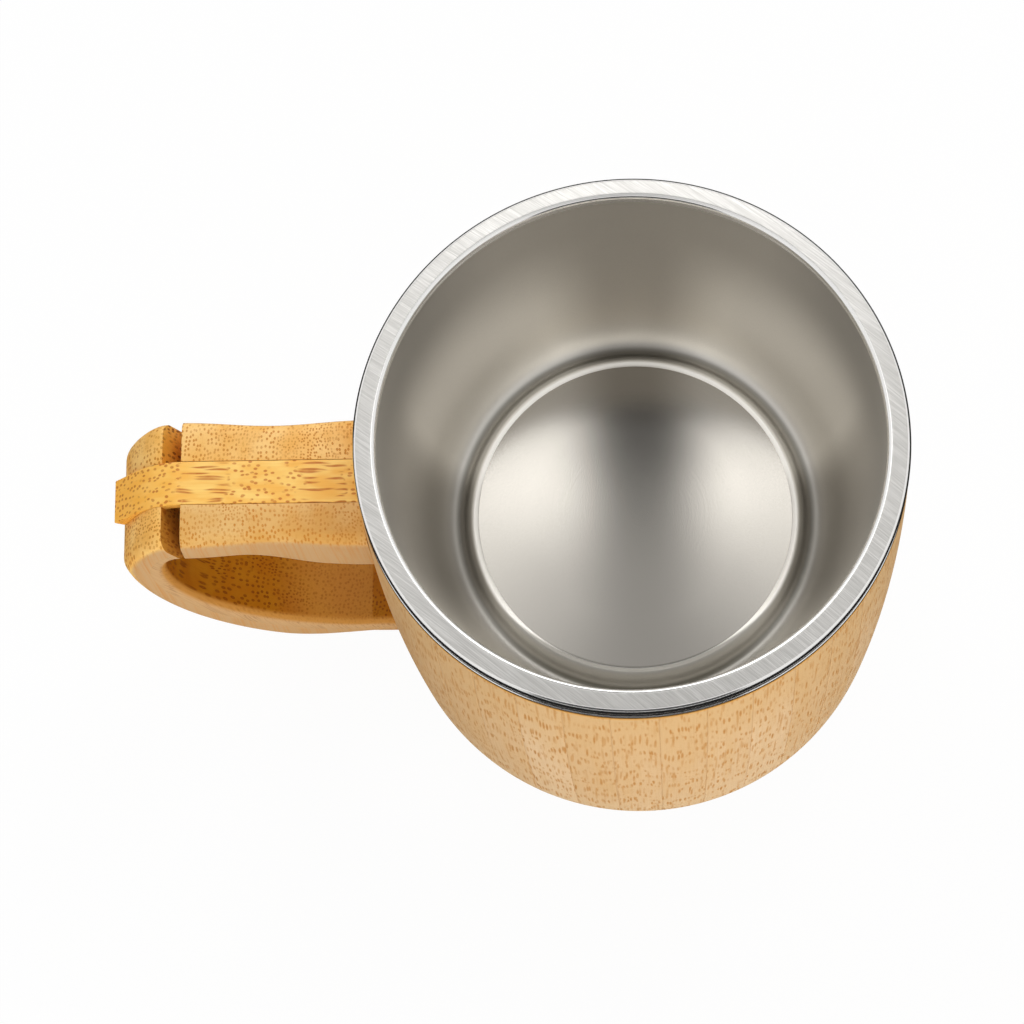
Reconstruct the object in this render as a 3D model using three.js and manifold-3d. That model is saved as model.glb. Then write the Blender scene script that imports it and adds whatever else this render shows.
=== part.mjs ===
// Double-walled mug: a drawn steel liner hangs by its rolled rim in a shell of glued bamboo staves.
// The handle is two bamboo arms that meet at a V notch, tied together by a bent bamboo strip.
// Millimetres, +Z up. The origin is on the mug's axis, on its underside, and the handle reaches along -X.

import * as THREE from "three";
import { mergeGeometries, mergeVertices } from "three/addons/utils/BufferGeometryUtils.js";
import Module from "manifold-3d";

const wasm = await Module();
wasm.setup();

// Whole mug
const MUG_HEIGHT = 95;
const RIM_DIAMETER = 87;

// Fits
const SEAT_GAP = 0.3; // between pieces that seat on or in each other
const GLUE_LINE = 0.2; // between neighbouring staves

// Steel liner, drawn from one sheet
const SHEET = 0.6;
const RIM_WIDTH = 3.7; // inner edge to outer edge, seen from above
const RIM_BEAD = 0.8; // rounding of the inner edge
const RIM_SHOULDER = 1.1; // rounding of the outer edge
const SKIRT_HEIGHT = 4.6; // rim top to the skirt's lower edge
const LINER_DEPTH = 44; // rim top to the floor
const FLOOR_RADIUS = 26.8;
const MOAT_WIDTH = 2.6; // floor's edge to the deepest line of the moat
const MOAT_DEPTH = 1.5;
const WALL_UPRIGHT = 21; // depth over which the wall leaves the rim nearly upright
const WALL_FULLNESS = 4.2; // how far the lower wall swells out past the moat

// Seal under the rim
const SEAL_THICKNESS = 1;

// Stave shell, turned on the outside after gluing
const STAVE_COUNT = 36;
const STAVE_WALL = 4;
const BELLY = 1; // swell of the wall past the rim's radius
const HEEL_HEIGHT = 14; // height of the rounded bottom edge
const HEEL_INSET = 1.5; // narrowing from the rim to the top of the heel
const HEEL_FULLNESS = 0.7; // 0 cuts the corner straight, 1 keeps it sharp
const FOOT_RADIUS = 34; // where the heel runs out on the underside
const BORE_LENGTH = 10; // straight bore below the seal
const BORE_TAPER = 16; // stretch where the bore draws in to the stave wall

// Base disc, let into the foot of the shell
const BASE_RADIUS = 29;
const BASE_THICKNESS = 8;
const BASE_CHAMFER = 0.6;
const BASE_LEDGE = 2; // lip of the staves over the disc
const LEDGE_THICKNESS = 2.5;

// Handle, seen from the side: reaches are measured from the rim's outer edge
const HANDLE_DROP = 20.7; // rim top to the top of the upper arm
const HANDLE_HEIGHT = 59.9;
const HANDLE_REACH = 40.6;
const ARM_WIDTH = 21.5;
const ARM_WAIST = 20.1; // narrowest width, half way along the upper arm
const ARM_EDGE = 2.4; // rounding of the long edges on the outside
const LOOP_EDGE = 0.8; // rounding of the long edges round the loop and below

// Upper arm
const UPPER_ARM_LENGTH = 29.4;
const UPPER_ARM_THICKNESS = 8.4;
const UPPER_ARM_ROOT = 13.6; // thickness at the shell
const ROOT_FLARE_START = 7; // reach where the underside begins to rise
const ROOT_FLARE_END = 21;

// Lower arm: a nose behind the V notch, then one sweep round to the foot of the shell
const NOTCH_WIDTH = 3.2; // across the top of the V
const NOSE_SET = 1.1; // nose below the top of the upper arm
const NOSE_HEIGHT = 16.3; // depth below the arm's top where the nose stands upright
const NOSE_EDGE = 3; // rounding of the nose's outer corners
const LOWER_ARM_THICKNESS = 7; // at the outermost point of the loop
const LOWER_ARM_ROOT = 8; // thickness along the bottom
const FOOT_EDGE = 5; // rounding of the lower edges at the shell
const FOOT_EDGE_REACH = 16; // where that rounding has run out
const LOWER_BEND_REACH = 12.5; // where the outer curve runs level
const LOOP_BEND_REACH = 4; // where the loop's curve runs level
const LOOP_SHOULDER = 17.8; // depth below the arm's top of the loop's outermost point
const NOSE_FULLNESS = 0.33; // fullness of each bend: 0 cuts its corner straight, 1 keeps it sharp
const SWEEP_FULLNESS = 0.485;
const LOOP_FULLNESS = 0.55;

// Bent strip in the top of the handle
const STRIP_WIDTH = 7.2;
const STRIP_THICKNESS = 2;
const STRIP_REACH = 41.6; // to the upper edge of its free end
const STRIP_DROP = 10.5; // depth of that edge below the arm's top
const STRIP_SLOPE = 51; // degrees, at the free end
const STRIP_EDGE = 0.4;

// Pins that hold the arms
const DOWEL_DIAMETER = 4;
const DOWEL_DEPTH = 13; // past the rim's radius into each arm

// Facets
const ROUND_STEPS = 60;
const RIM_STEPS = 2;
const WALL_STEPS = 8;
const MOAT_STEPS = 4;
const STAVE_STEPS = 2;
const SHELL_STEPS = 5;
const HEEL_STEPS = 4;
const EDGE_STEPS = 3;
const ARM_STEPS = 10;
const NOSE_STEPS = 6;
const SWEEP_STEPS = 11;
const FOOT_STEPS = 3;
const STRIP_STEPS = 8;
const DOWEL_SIDES = 16;
const WELD = 0.0001; // corners this close are one corner

// Places that several pieces share
const RIM_RADIUS = RIM_DIAMETER / 2;
const MOUTH_RADIUS = RIM_RADIUS - RIM_WIDTH;
const FLANGE_UNDERSIDE = MUG_HEIGHT - SHEET;
const SEAL_TOP = FLANGE_UNDERSIDE - SEAT_GAP;
const STAVE_TOP = SEAL_TOP - SEAL_THICKNESS - SEAT_GAP;
const STAVE_LEDGE = MUG_HEIGHT - SKIRT_HEIGHT - SEAT_GAP;
const TONGUE_OUTSIDE = RIM_RADIUS - SHEET - SEAT_GAP;
const TONGUE_INSIDE = MOUTH_RADIUS + SHEET + SEAT_GAP;
const ARM_TOP = MUG_HEIGHT - HANDLE_DROP;
const ARM_BOTTOM = ARM_TOP - HANDLE_HEIGHT;
const NOTCH_REACH = UPPER_ARM_LENGTH + NOTCH_WIDTH;
const NOSE_LEVEL = ARM_TOP - NOSE_HEIGHT;
const ROOT_REACH = -STAVE_WALL - HEEL_INSET; // the raw bars begin inside the shell
const CLEAR = 3; // how far cutters run past what they cut

// A point of the handle's side view: reach from the rim's outer edge, and height.
const at = (reach, height) => new THREE.Vector2(-RIM_RADIUS - reach, height);
const point = (radius, height) => new THREE.Vector2(radius, height);

// A bend between two points, drawn towards the corner where its two end directions meet.
function bend(from, corner, to, fullness, steps) {
  const leaving = from.clone().lerp(corner, fullness);
  const arriving = to.clone().lerp(corner, fullness);
  return new THREE.CubicBezierCurve(from, leaving, arriving, to).getPoints(steps);
}

// Gives an outline the direction that turns into outward faces.
function counterClockwise(outline) {
  return THREE.ShapeUtils.area(outline) < 0 ? outline.slice().reverse() : outline;
}

// Leaves only shared positions and true triangles, as solids need.
function welded(geometry) {
  const bare = geometry.clone();
  bare.deleteAttribute("normal");
  bare.deleteAttribute("uv");
  const merged = mergeVertices(bare, WELD);
  const corners = merged.index.array;
  const kept = [];
  for (let i = 0; i < corners.length; i += 3) {
    const [a, b, c] = [corners[i], corners[i + 1], corners[i + 2]];
    if (a !== b && b !== c && c !== a) kept.push(a, b, c);
  }
  merged.setIndex(kept);
  return merged;
}

function toSolid(geometry) {
  const mesh = welded(geometry);
  const vertProperties = new Float32Array(mesh.attributes.position.array);
  const triVerts = new Uint32Array(mesh.index.array);
  return new wasm.Manifold(new wasm.Mesh({ numProp: 3, vertProperties, triVerts }));
}

function fromSolid(solid) {
  const mesh = solid.getMesh();
  const geometry = new THREE.BufferGeometry();
  geometry.setAttribute("position", new THREE.BufferAttribute(new Float32Array(mesh.vertProperties), 3));
  geometry.setIndex(Array.from(mesh.triVerts));
  return geometry;
}

function cut(geometry, ...tools) {
  const rest = tools.reduce((solid, tool) => solid.subtract(toSolid(tool)), toSolid(geometry));
  return fromSolid(rest);
}

// Revolves an outline of radius and height round the mug's axis.
function turned(outline) {
  const lathe = new THREE.LatheGeometry(outline, ROUND_STEPS);
  lathe.rotateX(Math.PI / 2);
  return welded(lathe);
}

// One wedge of a revolved outline, centred on +X, with its two side faces closed.
function turnedWedge(outline, sweep, steps) {
  const profile = counterClockwise(outline);
  const start = (Math.PI - sweep) / 2;
  const skin = new THREE.LatheGeometry([...profile, profile[0]], steps, start, sweep);
  const firstSide = new THREE.ShapeGeometry(new THREE.Shape(profile));
  const lastSide = firstSide.clone();
  lastSide.setIndex(Array.from(lastSide.index.array).reverse());
  firstSide.rotateY(start - Math.PI / 2);
  lastSide.rotateY(start + sweep - Math.PI / 2);
  const wedge = mergeGeometries([skin, firstSide, lastSide]);
  wedge.rotateX(Math.PI / 2);
  return welded(wedge);
}

// Moves an open line sideways, to its left, by a distance.
function leftOf(line, distance) {
  return line.map((here, i) => {
    const before = line[Math.max(i - 1, 0)];
    const after = line[Math.min(i + 1, line.length - 1)];
    const along = after.clone().sub(before).normalize();
    return point(here.x - along.y * distance, here.y + along.x * distance);
  });
}

// Skins a row of rings that have the same number of points, and closes its two ends.
function loft(rings) {
  const count = rings[0].length;
  const corners = [];
  for (let i = 0; i + 1 < rings.length; i += 1) {
    for (let j = 0; j < count; j += 1) {
      const a = i * count + j;
      const b = i * count + ((j + 1) % count);
      corners.push(a, b, a + count, b, b + count, a + count);
    }
  }
  const last = (rings.length - 1) * count;
  for (let j = 1; j + 1 < count; j += 1) {
    corners.push(0, j + 1, j, last, last + j, last + j + 1);
  }
  const geometry = new THREE.BufferGeometry().setFromPoints(rings.flat());
  geometry.setIndex(corners);
  return geometry;
}

// A bar between an outer and an inner contour of the side view, with rounded long edges.
// widthAt gives its width across the handle, and edgeAt the rounding of its outer edges, at each step.
function bar(outer, inner, widthAt, edgeAt, innerEdge) {
  const rings = outer.map((outside, i) => {
    const inside = inner[i];
    const middle = outside.clone().add(inside).multiplyScalar(0.5);
    const up = outside.clone().sub(inside);
    const thickness = up.length();
    const reach = -RIM_RADIUS - middle.x;
    const outerEdge = Math.min(edgeAt(i, reach), thickness - 2 * innerEdge);
    const width = widthAt(reach);
    up.normalize();
    const ring = [];
    for (let quarter = 0; quarter < 4; quarter += 1) {
      const heightSide = quarter === 0 || quarter === 3 ? 1 : -1;
      const widthSide = quarter < 2 ? 1 : -1;
      const edge = heightSide > 0 ? outerEdge : innerEdge;
      for (let k = 0; k <= EDGE_STEPS; k += 1) {
        const turn = ((quarter + k / EDGE_STEPS) * Math.PI) / 2;
        const rise = heightSide * (thickness / 2 - edge) + edge * Math.cos(turn);
        const across = widthSide * (width / 2 - edge) + edge * Math.sin(turn);
        ring.push(new THREE.Vector3(middle.x + up.x * rise, across, middle.y + up.y * rise));
      }
    }
    return ring;
  });
  return loft(rings);
}

// The liner's visible line, from the skirt's lower edge over the rim to the centre of the floor.
function linerLine() {
  const floor = MUG_HEIGHT - LINER_DEPTH;
  const moat = floor - MOAT_DEPTH;
  const moatRadius = FLOOR_RADIUS + MOAT_WIDTH;
  const edge = new THREE.Path();
  edge.moveTo(RIM_RADIUS, MUG_HEIGHT - SKIRT_HEIGHT);
  edge.lineTo(RIM_RADIUS, MUG_HEIGHT - RIM_SHOULDER);
  edge.absarc(RIM_RADIUS - RIM_SHOULDER, MUG_HEIGHT - RIM_SHOULDER, RIM_SHOULDER, 0, Math.PI / 2);
  edge.lineTo(MOUTH_RADIUS + RIM_BEAD, MUG_HEIGHT);
  edge.absarc(MOUTH_RADIUS + RIM_BEAD, MUG_HEIGHT - RIM_BEAD, RIM_BEAD, Math.PI / 2, Math.PI);
  const wall = new THREE.CubicBezierCurve(
    point(MOUTH_RADIUS, MUG_HEIGHT - RIM_BEAD),
    point(MOUTH_RADIUS, MUG_HEIGHT - WALL_UPRIGHT),
    point(moatRadius + WALL_FULLNESS, moat),
    point(moatRadius, moat),
  );
  const step = new THREE.CubicBezierCurve(
    point(moatRadius, moat),
    point(FLOOR_RADIUS + MOAT_WIDTH / 2, moat),
    point(FLOOR_RADIUS + MOAT_WIDTH / 2, floor),
    point(FLOOR_RADIUS, floor),
  );
  return [
    ...edge.getPoints(RIM_STEPS),
    ...wall.getPoints(WALL_STEPS).slice(1),
    ...step.getPoints(MOAT_STEPS).slice(1),
    point(0, floor),
  ];
}

function linerGeometry() {
  const face = linerLine();
  const back = leftOf(face, SHEET);
  return turned([...back.reverse(), ...face]);
}

function sealGeometry() {
  const ring = [
    point(TONGUE_INSIDE, SEAL_TOP - SEAL_THICKNESS),
    point(TONGUE_OUTSIDE, SEAL_TOP - SEAL_THICKNESS),
    point(TONGUE_OUTSIDE, SEAL_TOP),
    point(TONGUE_INSIDE, SEAL_TOP),
  ];
  return turned([...ring, ring[0]]);
}

// The shell's turned outside, from the ledge under the rim's skirt to the foot.
function shellOutside() {
  const heelTop = point(RIM_RADIUS - HEEL_INSET, HEEL_HEIGHT);
  const swell = point(RIM_RADIUS + BELLY, (STAVE_LEDGE + HEEL_HEIGHT) / 2);
  const wall = new THREE.QuadraticBezierCurve(point(RIM_RADIUS, STAVE_LEDGE), swell, heelTop);
  const toGround = HEEL_HEIGHT / (swell.y - HEEL_HEIGHT);
  const heelCorner = point(heelTop.x - (swell.x - heelTop.x) * toGround, 0);
  const heel = bend(heelTop, heelCorner, point(FOOT_RADIUS, 0), HEEL_FULLNESS, HEEL_STEPS);
  return [...wall.getPoints(SHELL_STEPS), ...heel.slice(1)];
}

function staveOutline() {
  const wallFoot = RIM_RADIUS - HEEL_INSET - STAVE_WALL;
  const seat = BASE_THICKNESS + SEAT_GAP;
  return [
    point(TONGUE_OUTSIDE, STAVE_TOP),
    point(TONGUE_OUTSIDE, STAVE_LEDGE),
    ...shellOutside(),
    point(BASE_RADIUS + SEAT_GAP, 0),
    point(BASE_RADIUS + SEAT_GAP, seat),
    point(BASE_RADIUS - BASE_LEDGE, seat),
    point(BASE_RADIUS - BASE_LEDGE, seat + LEDGE_THICKNESS),
    point(wallFoot, HEEL_HEIGHT + LEDGE_THICKNESS),
    point(RIM_RADIUS - STAVE_WALL, STAVE_TOP - BORE_LENGTH - BORE_TAPER),
    point(TONGUE_INSIDE, STAVE_TOP - BORE_LENGTH),
    point(TONGUE_INSIDE, STAVE_TOP),
  ];
}

function staveGeometry() {
  const pitch = (2 * Math.PI) / STAVE_COUNT;
  return turnedWedge(staveOutline(), pitch - GLUE_LINE / RIM_RADIUS, STAVE_STEPS);
}

// The solid of revolution that the handle's roots are scribed to.
function shellEnvelope() {
  const grown = leftOf(shellOutside(), SEAT_GAP);
  return turned([
    point(0, -CLEAR),
    point(FOOT_RADIUS, -CLEAR),
    ...grown.reverse(),
    point(RIM_RADIUS + SEAT_GAP, MUG_HEIGHT + CLEAR),
    point(0, MUG_HEIGHT + CLEAR),
  ]);
}

function baseGeometry() {
  return turned([
    point(0, 0),
    point(BASE_RADIUS - BASE_CHAMFER, 0),
    point(BASE_RADIUS, BASE_CHAMFER),
    point(BASE_RADIUS, BASE_THICKNESS - BASE_CHAMFER),
    point(BASE_RADIUS - BASE_CHAMFER, BASE_THICKNESS),
    point(0, BASE_THICKNESS),
  ]);
}

function upperArmBar() {
  const outer = [];
  const inner = [];
  for (let i = 0; i <= ARM_STEPS; i += 1) {
    const reach = THREE.MathUtils.lerp(ROOT_REACH, UPPER_ARM_LENGTH, i / ARM_STEPS);
    const slim = THREE.MathUtils.smoothstep(reach, ROOT_FLARE_START, ROOT_FLARE_END);
    const thickness = THREE.MathUtils.lerp(UPPER_ARM_ROOT, UPPER_ARM_THICKNESS, slim);
    outer.push(at(reach, ARM_TOP));
    inner.push(at(reach, ARM_TOP - thickness));
  }
  const waist = (reach) => {
    const along = THREE.MathUtils.clamp(reach / UPPER_ARM_LENGTH, 0, 1);
    return ARM_WIDTH - (ARM_WIDTH - ARM_WAIST) * Math.sin(Math.PI * along) ** 2;
  };
  return bar(outer, inner, waist, () => ARM_EDGE, LOOP_EDGE);
}

function lowerArmBar() {
  const loopReach = HANDLE_REACH - LOWER_ARM_THICKNESS;
  const loopLevel = ARM_TOP - LOOP_SHOULDER;
  const loopFloor = ARM_BOTTOM + LOWER_ARM_ROOT;
  const notchFoot = ARM_TOP - UPPER_ARM_THICKNESS;
  const noseTip = at(HANDLE_REACH, NOSE_LEVEL);
  const loopTip = at(loopReach, loopLevel);
  const nose = bend(
    at(NOTCH_REACH, ARM_TOP - NOSE_SET), at(HANDLE_REACH, ARM_TOP - NOSE_SET), noseTip,
    NOSE_FULLNESS, NOSE_STEPS,
  );
  const throat = bend(
    at(UPPER_ARM_LENGTH + SEAT_GAP, notchFoot), at(loopReach, notchFoot), loopTip,
    LOOP_FULLNESS, NOSE_STEPS,
  );
  const sweep = bend(
    noseTip, at(HANDLE_REACH, ARM_BOTTOM), at(LOWER_BEND_REACH, ARM_BOTTOM),
    SWEEP_FULLNESS, SWEEP_STEPS,
  );
  const loop = bend(
    loopTip, at(loopReach, loopFloor), at(LOOP_BEND_REACH, loopFloor),
    LOOP_FULLNESS, SWEEP_STEPS,
  );
  const footOuter = new THREE.LineCurve(sweep.at(-1), at(ROOT_REACH, ARM_BOTTOM)).getPoints(FOOT_STEPS);
  const footInner = new THREE.LineCurve(loop.at(-1), at(ROOT_REACH, loopFloor)).getPoints(FOOT_STEPS);
  const outer = [...nose, ...sweep.slice(1), ...footOuter.slice(1)];
  const inner = [...throat, ...loop.slice(1), ...footInner.slice(1)];
  const edgeAt = (i, reach) => {
    const rising = Math.min(i / NOSE_STEPS, 1);
    const fading = THREE.MathUtils.smoothstep((i - NOSE_STEPS) / SWEEP_STEPS, 0, 0.5);
    const corner = THREE.MathUtils.lerp(ARM_EDGE, NOSE_EDGE, rising);
    const body = THREE.MathUtils.lerp(corner, LOOP_EDGE, fading);
    const clear = THREE.MathUtils.smoothstep(reach, 0, FOOT_EDGE_REACH);
    return Math.max(body, THREE.MathUtils.lerp(FOOT_EDGE, LOOP_EDGE, clear));
  };
  return bar(outer, inner, () => ARM_WIDTH, edgeAt, LOOP_EDGE);
}

// The strip's upper face in the side view: along the arm, over the notch and down past the nose.
function stripLine(extra) {
  const arm = at(UPPER_ARM_LENGTH, ARM_TOP);
  const tip = at(STRIP_REACH, ARM_TOP - STRIP_DROP);
  const lead = arm.distanceTo(tip) / 3;
  const slope = THREE.MathUtils.degToRad(STRIP_SLOPE);
  const downhill = point(-Math.cos(slope), -Math.sin(slope));
  const curve = new THREE.CubicBezierCurve(
    arm,
    at(UPPER_ARM_LENGTH + lead, ARM_TOP),
    tip.clone().addScaledVector(downhill, -lead),
    tip,
  );
  const end = extra > 0 ? [tip.clone().addScaledVector(downhill, extra)] : [];
  return [at(ROOT_REACH, ARM_TOP), ...curve.getPoints(STRIP_STEPS), ...end];
}

function stripBar() {
  const top = stripLine(0);
  return bar(top, leftOf(top, STRIP_THICKNESS), () => STRIP_WIDTH, () => STRIP_EDGE, STRIP_EDGE);
}

// The groove that the strip lies in, open at the top.
function grooveBar() {
  const line = stripLine(SEAT_GAP);
  const floor = leftOf(line, STRIP_THICKNESS + SEAT_GAP);
  return bar(leftOf(line, -CLEAR), floor, () => STRIP_WIDTH + 2 * SEAT_GAP, () => STRIP_EDGE, STRIP_EDGE);
}

// A round bar along the handle's -X, between two distances from the mug's axis.
function roundBar(height, inner, outer, radius) {
  const pin = new THREE.CylinderGeometry(radius, radius, outer - inner, DOWEL_SIDES);
  pin.rotateZ(Math.PI / 2);
  pin.translate(-(inner + outer) / 2, 0, height);
  return welded(pin);
}

// The pins run from just inside the shell's wall into the middle of each arm's root.
const UPPER_DOWEL = {
  height: ARM_TOP - (UPPER_ARM_ROOT + STRIP_THICKNESS) / 2,
  inside: RIM_RADIUS - STAVE_WALL + SEAT_GAP,
};
const LOWER_DOWEL = {
  height: ARM_BOTTOM + LOWER_ARM_ROOT / 2,
  inside: RIM_RADIUS - HEEL_INSET - STAVE_WALL + SEAT_GAP,
};

function dowelGeometry(dowel) {
  return roundBar(dowel.height, dowel.inside, RIM_RADIUS + DOWEL_DEPTH, DOWEL_DIAMETER / 2);
}

function dowelHole(dowel) {
  return roundBar(dowel.height, 0, RIM_RADIUS + DOWEL_DEPTH + SEAT_GAP, DOWEL_DIAMETER / 2 + SEAT_GAP);
}

// Finishes
const shellBamboo = { color: 0xdcb98a, roughness: 0.55, metalness: 0 };
const handleBamboo = { color: 0xcf9a52, roughness: 0.5, metalness: 0 };
const stripBamboo = { color: 0xe0a552, roughness: 0.5, metalness: 0 };
const satinSteel = { color: 0xb4b0a8, roughness: 0.35, metalness: 1 };
const sealRubber = { color: 0xd8d8d4, roughness: 0.8, metalness: 0 };

const mug = new THREE.Group();

function add(parent, name, geometry, finish) {
  const material = new THREE.MeshStandardMaterial({ ...finish, flatShading: true });
  const mesh = new THREE.Mesh(geometry, material);
  mesh.name = name;
  parent.add(mesh);
  return mesh;
}

add(mug, "steel_liner", linerGeometry(), satinSteel);
add(mug, "rim_seal", sealGeometry(), sealRubber);
add(mug, "base_disc", baseGeometry(), shellBamboo);

// Staves are numbered from the one behind the handle, which the pins pass through.
const shell = new THREE.Group();
mug.add(shell);
const plainStave = staveGeometry();
const holes = [UPPER_DOWEL, LOWER_DOWEL].map(dowelHole);
const staveWidth = (2 * Math.PI * RIM_RADIUS) / STAVE_COUNT;
for (let i = 0; i < STAVE_COUNT; i += 1) {
  const turn = Math.PI + (i * 2 * Math.PI) / STAVE_COUNT;
  const across = Math.min(i, STAVE_COUNT - i) * staveWidth;
  const drilled = across - staveWidth / 2 < DOWEL_DIAMETER;
  const toolsInPlace = holes.map((hole) => hole.clone().rotateZ(-turn));
  const geometry = drilled ? cut(plainStave, ...toolsInPlace) : plainStave;
  const stave = add(shell, `stave_${String(i + 1).padStart(2, "0")}`, geometry, shellBamboo);
  stave.rotation.z = turn;
}

const handle = new THREE.Group();
mug.add(handle);
const envelope = shellEnvelope();
const groove = grooveBar();
add(handle, "upper_arm", cut(upperArmBar(), envelope, groove, holes[0]), handleBamboo);
add(handle, "lower_arm", cut(lowerArmBar(), envelope, groove, holes[1]), handleBamboo);
add(handle, "handle_strip", cut(stripBar(), envelope), stripBamboo);
add(handle, "upper_dowel", dowelGeometry(UPPER_DOWEL), handleBamboo);
add(handle, "lower_dowel", dowelGeometry(LOWER_DOWEL), handleBamboo);

export default mug;
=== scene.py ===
# Looks of a double-walled mug: a steel liner in a shell of glued bamboo staves, with a two-part handle.
# Metres, +Z up. The origin is on the mug's axis, on its underside, and the handle reaches along -X.

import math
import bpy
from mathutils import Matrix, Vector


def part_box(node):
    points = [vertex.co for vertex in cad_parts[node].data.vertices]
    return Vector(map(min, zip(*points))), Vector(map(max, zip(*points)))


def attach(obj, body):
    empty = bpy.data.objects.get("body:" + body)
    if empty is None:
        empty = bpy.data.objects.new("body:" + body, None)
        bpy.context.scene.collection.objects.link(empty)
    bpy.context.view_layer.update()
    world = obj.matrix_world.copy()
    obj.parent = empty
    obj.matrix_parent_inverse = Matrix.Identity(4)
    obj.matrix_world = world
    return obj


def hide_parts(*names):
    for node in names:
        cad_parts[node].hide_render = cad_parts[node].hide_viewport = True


bl_info = {
    "name": "Double-walled mug",
    "version": (1, 0, 0),
    "blender": (4, 5, 0),
    "location": "View3D > Sidebar > Mug",
    "description": "Builds a bamboo and steel mug and its studio around a fixed frame",
    "category": "Object",
}

import bmesh
import bpy
import numpy as np
from bpy.props import FloatProperty, FloatVectorProperty, IntProperty, PointerProperty
from bpy.types import NodeSocket, Operator, Panel, PropertyGroup
from mathutils import Matrix, Vector

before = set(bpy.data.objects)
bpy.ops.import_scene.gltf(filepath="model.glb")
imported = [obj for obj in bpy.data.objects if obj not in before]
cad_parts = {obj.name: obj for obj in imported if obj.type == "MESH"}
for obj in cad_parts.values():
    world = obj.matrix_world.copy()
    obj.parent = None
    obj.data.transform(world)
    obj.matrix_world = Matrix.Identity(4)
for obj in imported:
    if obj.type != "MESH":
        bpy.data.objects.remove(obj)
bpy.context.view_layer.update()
BODY = "root"
WHITE = (1, 1, 1, 1)
SENSOR = 36  # width of the camera's frame in millimetres

# Sizes that the fixed frame gives
_, LINER_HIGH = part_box("steel_liner")
_, BASE_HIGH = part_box("base_disc")
UPPER_LOW, UPPER_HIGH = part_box("upper_arm")
LOWER_LOW, LOWER_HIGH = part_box("lower_arm")
STRIP_LOW, STRIP_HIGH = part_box("handle_strip")
RIM_RADIUS = LINER_HIGH.x
MUG_HEIGHT = LINER_HIGH.z
ARM_TOP = UPPER_HIGH.z
STAVES = sorted(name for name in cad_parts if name.startswith("stave_"))


def length(description, default):
    """A size in metres."""
    return FloatProperty(description=description, default=default, unit="LENGTH", precision=5)


def share(description, default):
    """A plain number between nought and one."""
    return FloatProperty(description=description, default=default, min=0, max=1)


def number(description, default, unit="NONE"):
    """A number with no limits of its own."""
    return FloatProperty(description=description, default=default, unit=unit)


def angle(description, degrees):
    """An angle, written in degrees."""
    return number(description, math.radians(degrees), "ROTATION")


def colour(description, default):
    """A linear colour."""
    return FloatVectorProperty(description=description, default=default, subtype="COLOR", min=0, max=1)


class LinerSettings(PropertyGroup):
    """Sizes and tints of the steel liner."""

    sheet: length("Thickness of the steel", 0.0006)
    rim_width: length("Inner edge to outer edge of the rim", 0.0037)
    bead: length("Rounding of the rim's inner edge", 0.0008)
    shoulder: length("Rounding of the rim's outer edge", 0.0011)
    skirt: length("Rim top to the skirt's lower edge", 0.0046)
    tuck: length("How far the skirt draws in below the shoulder", 0.00014)
    tuck_run: length("Height over which it draws in", 0.0007)
    depth: length("Rim top to the floor", 0.044)
    floor_radius: length("Radius of the floor with its bead", 0.0268)
    floor_bead: length("Rise of the bead round the floor", 0.0002)
    bead_run: length("Width of the bead's inner slope", 0.0007)
    moat_width: length("Floor's edge to the deepest line of the moat", 0.0026)
    moat_depth: length("Drop from the floor into the moat", 0.0015)
    upright: length("Depth over which the wall leaves the rim nearly upright", 0.021)
    fullness: length("Swell of the lower wall past the moat", 0.0052)
    crowning: angle("Fall of the rim's flat towards its outer edge", 15)
    crown: number("Rise of the floor's middle, for each square of the radius", 2.0)
    crown_radius: length("Where the crown is steepest", 0.018)
    relaxing: number("How fast the crown flattens out from there", 1.3)
    belt: angle("Direction of the scratches on the rim", -52)
    satin: colour("Tint of the cup's floor", (0.56, 0.53, 0.48))
    wall: colour("Tint of the cup's wall", (0.60, 0.57, 0.52))
    # painted light: tint of the wall's painted reflections and of the painted highlight on the floor's edge
    pale: colour("Tint of the wall's palest fields", (0.97, 0.935, 0.87))
    groove: colour("Shade in the moat", (0.12, 0.115, 0.1))
    # painted shade at the floor's far edge
    far_edge_shade: colour("Shade at the floor's far edge", (0.62, 0.6, 0.57))
    brushed: colour("Tint of the flat rim", (0.70, 0.685, 0.66))
    polished: colour("Tint of the rolled edges", (0.82, 0.81, 0.79))


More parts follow.
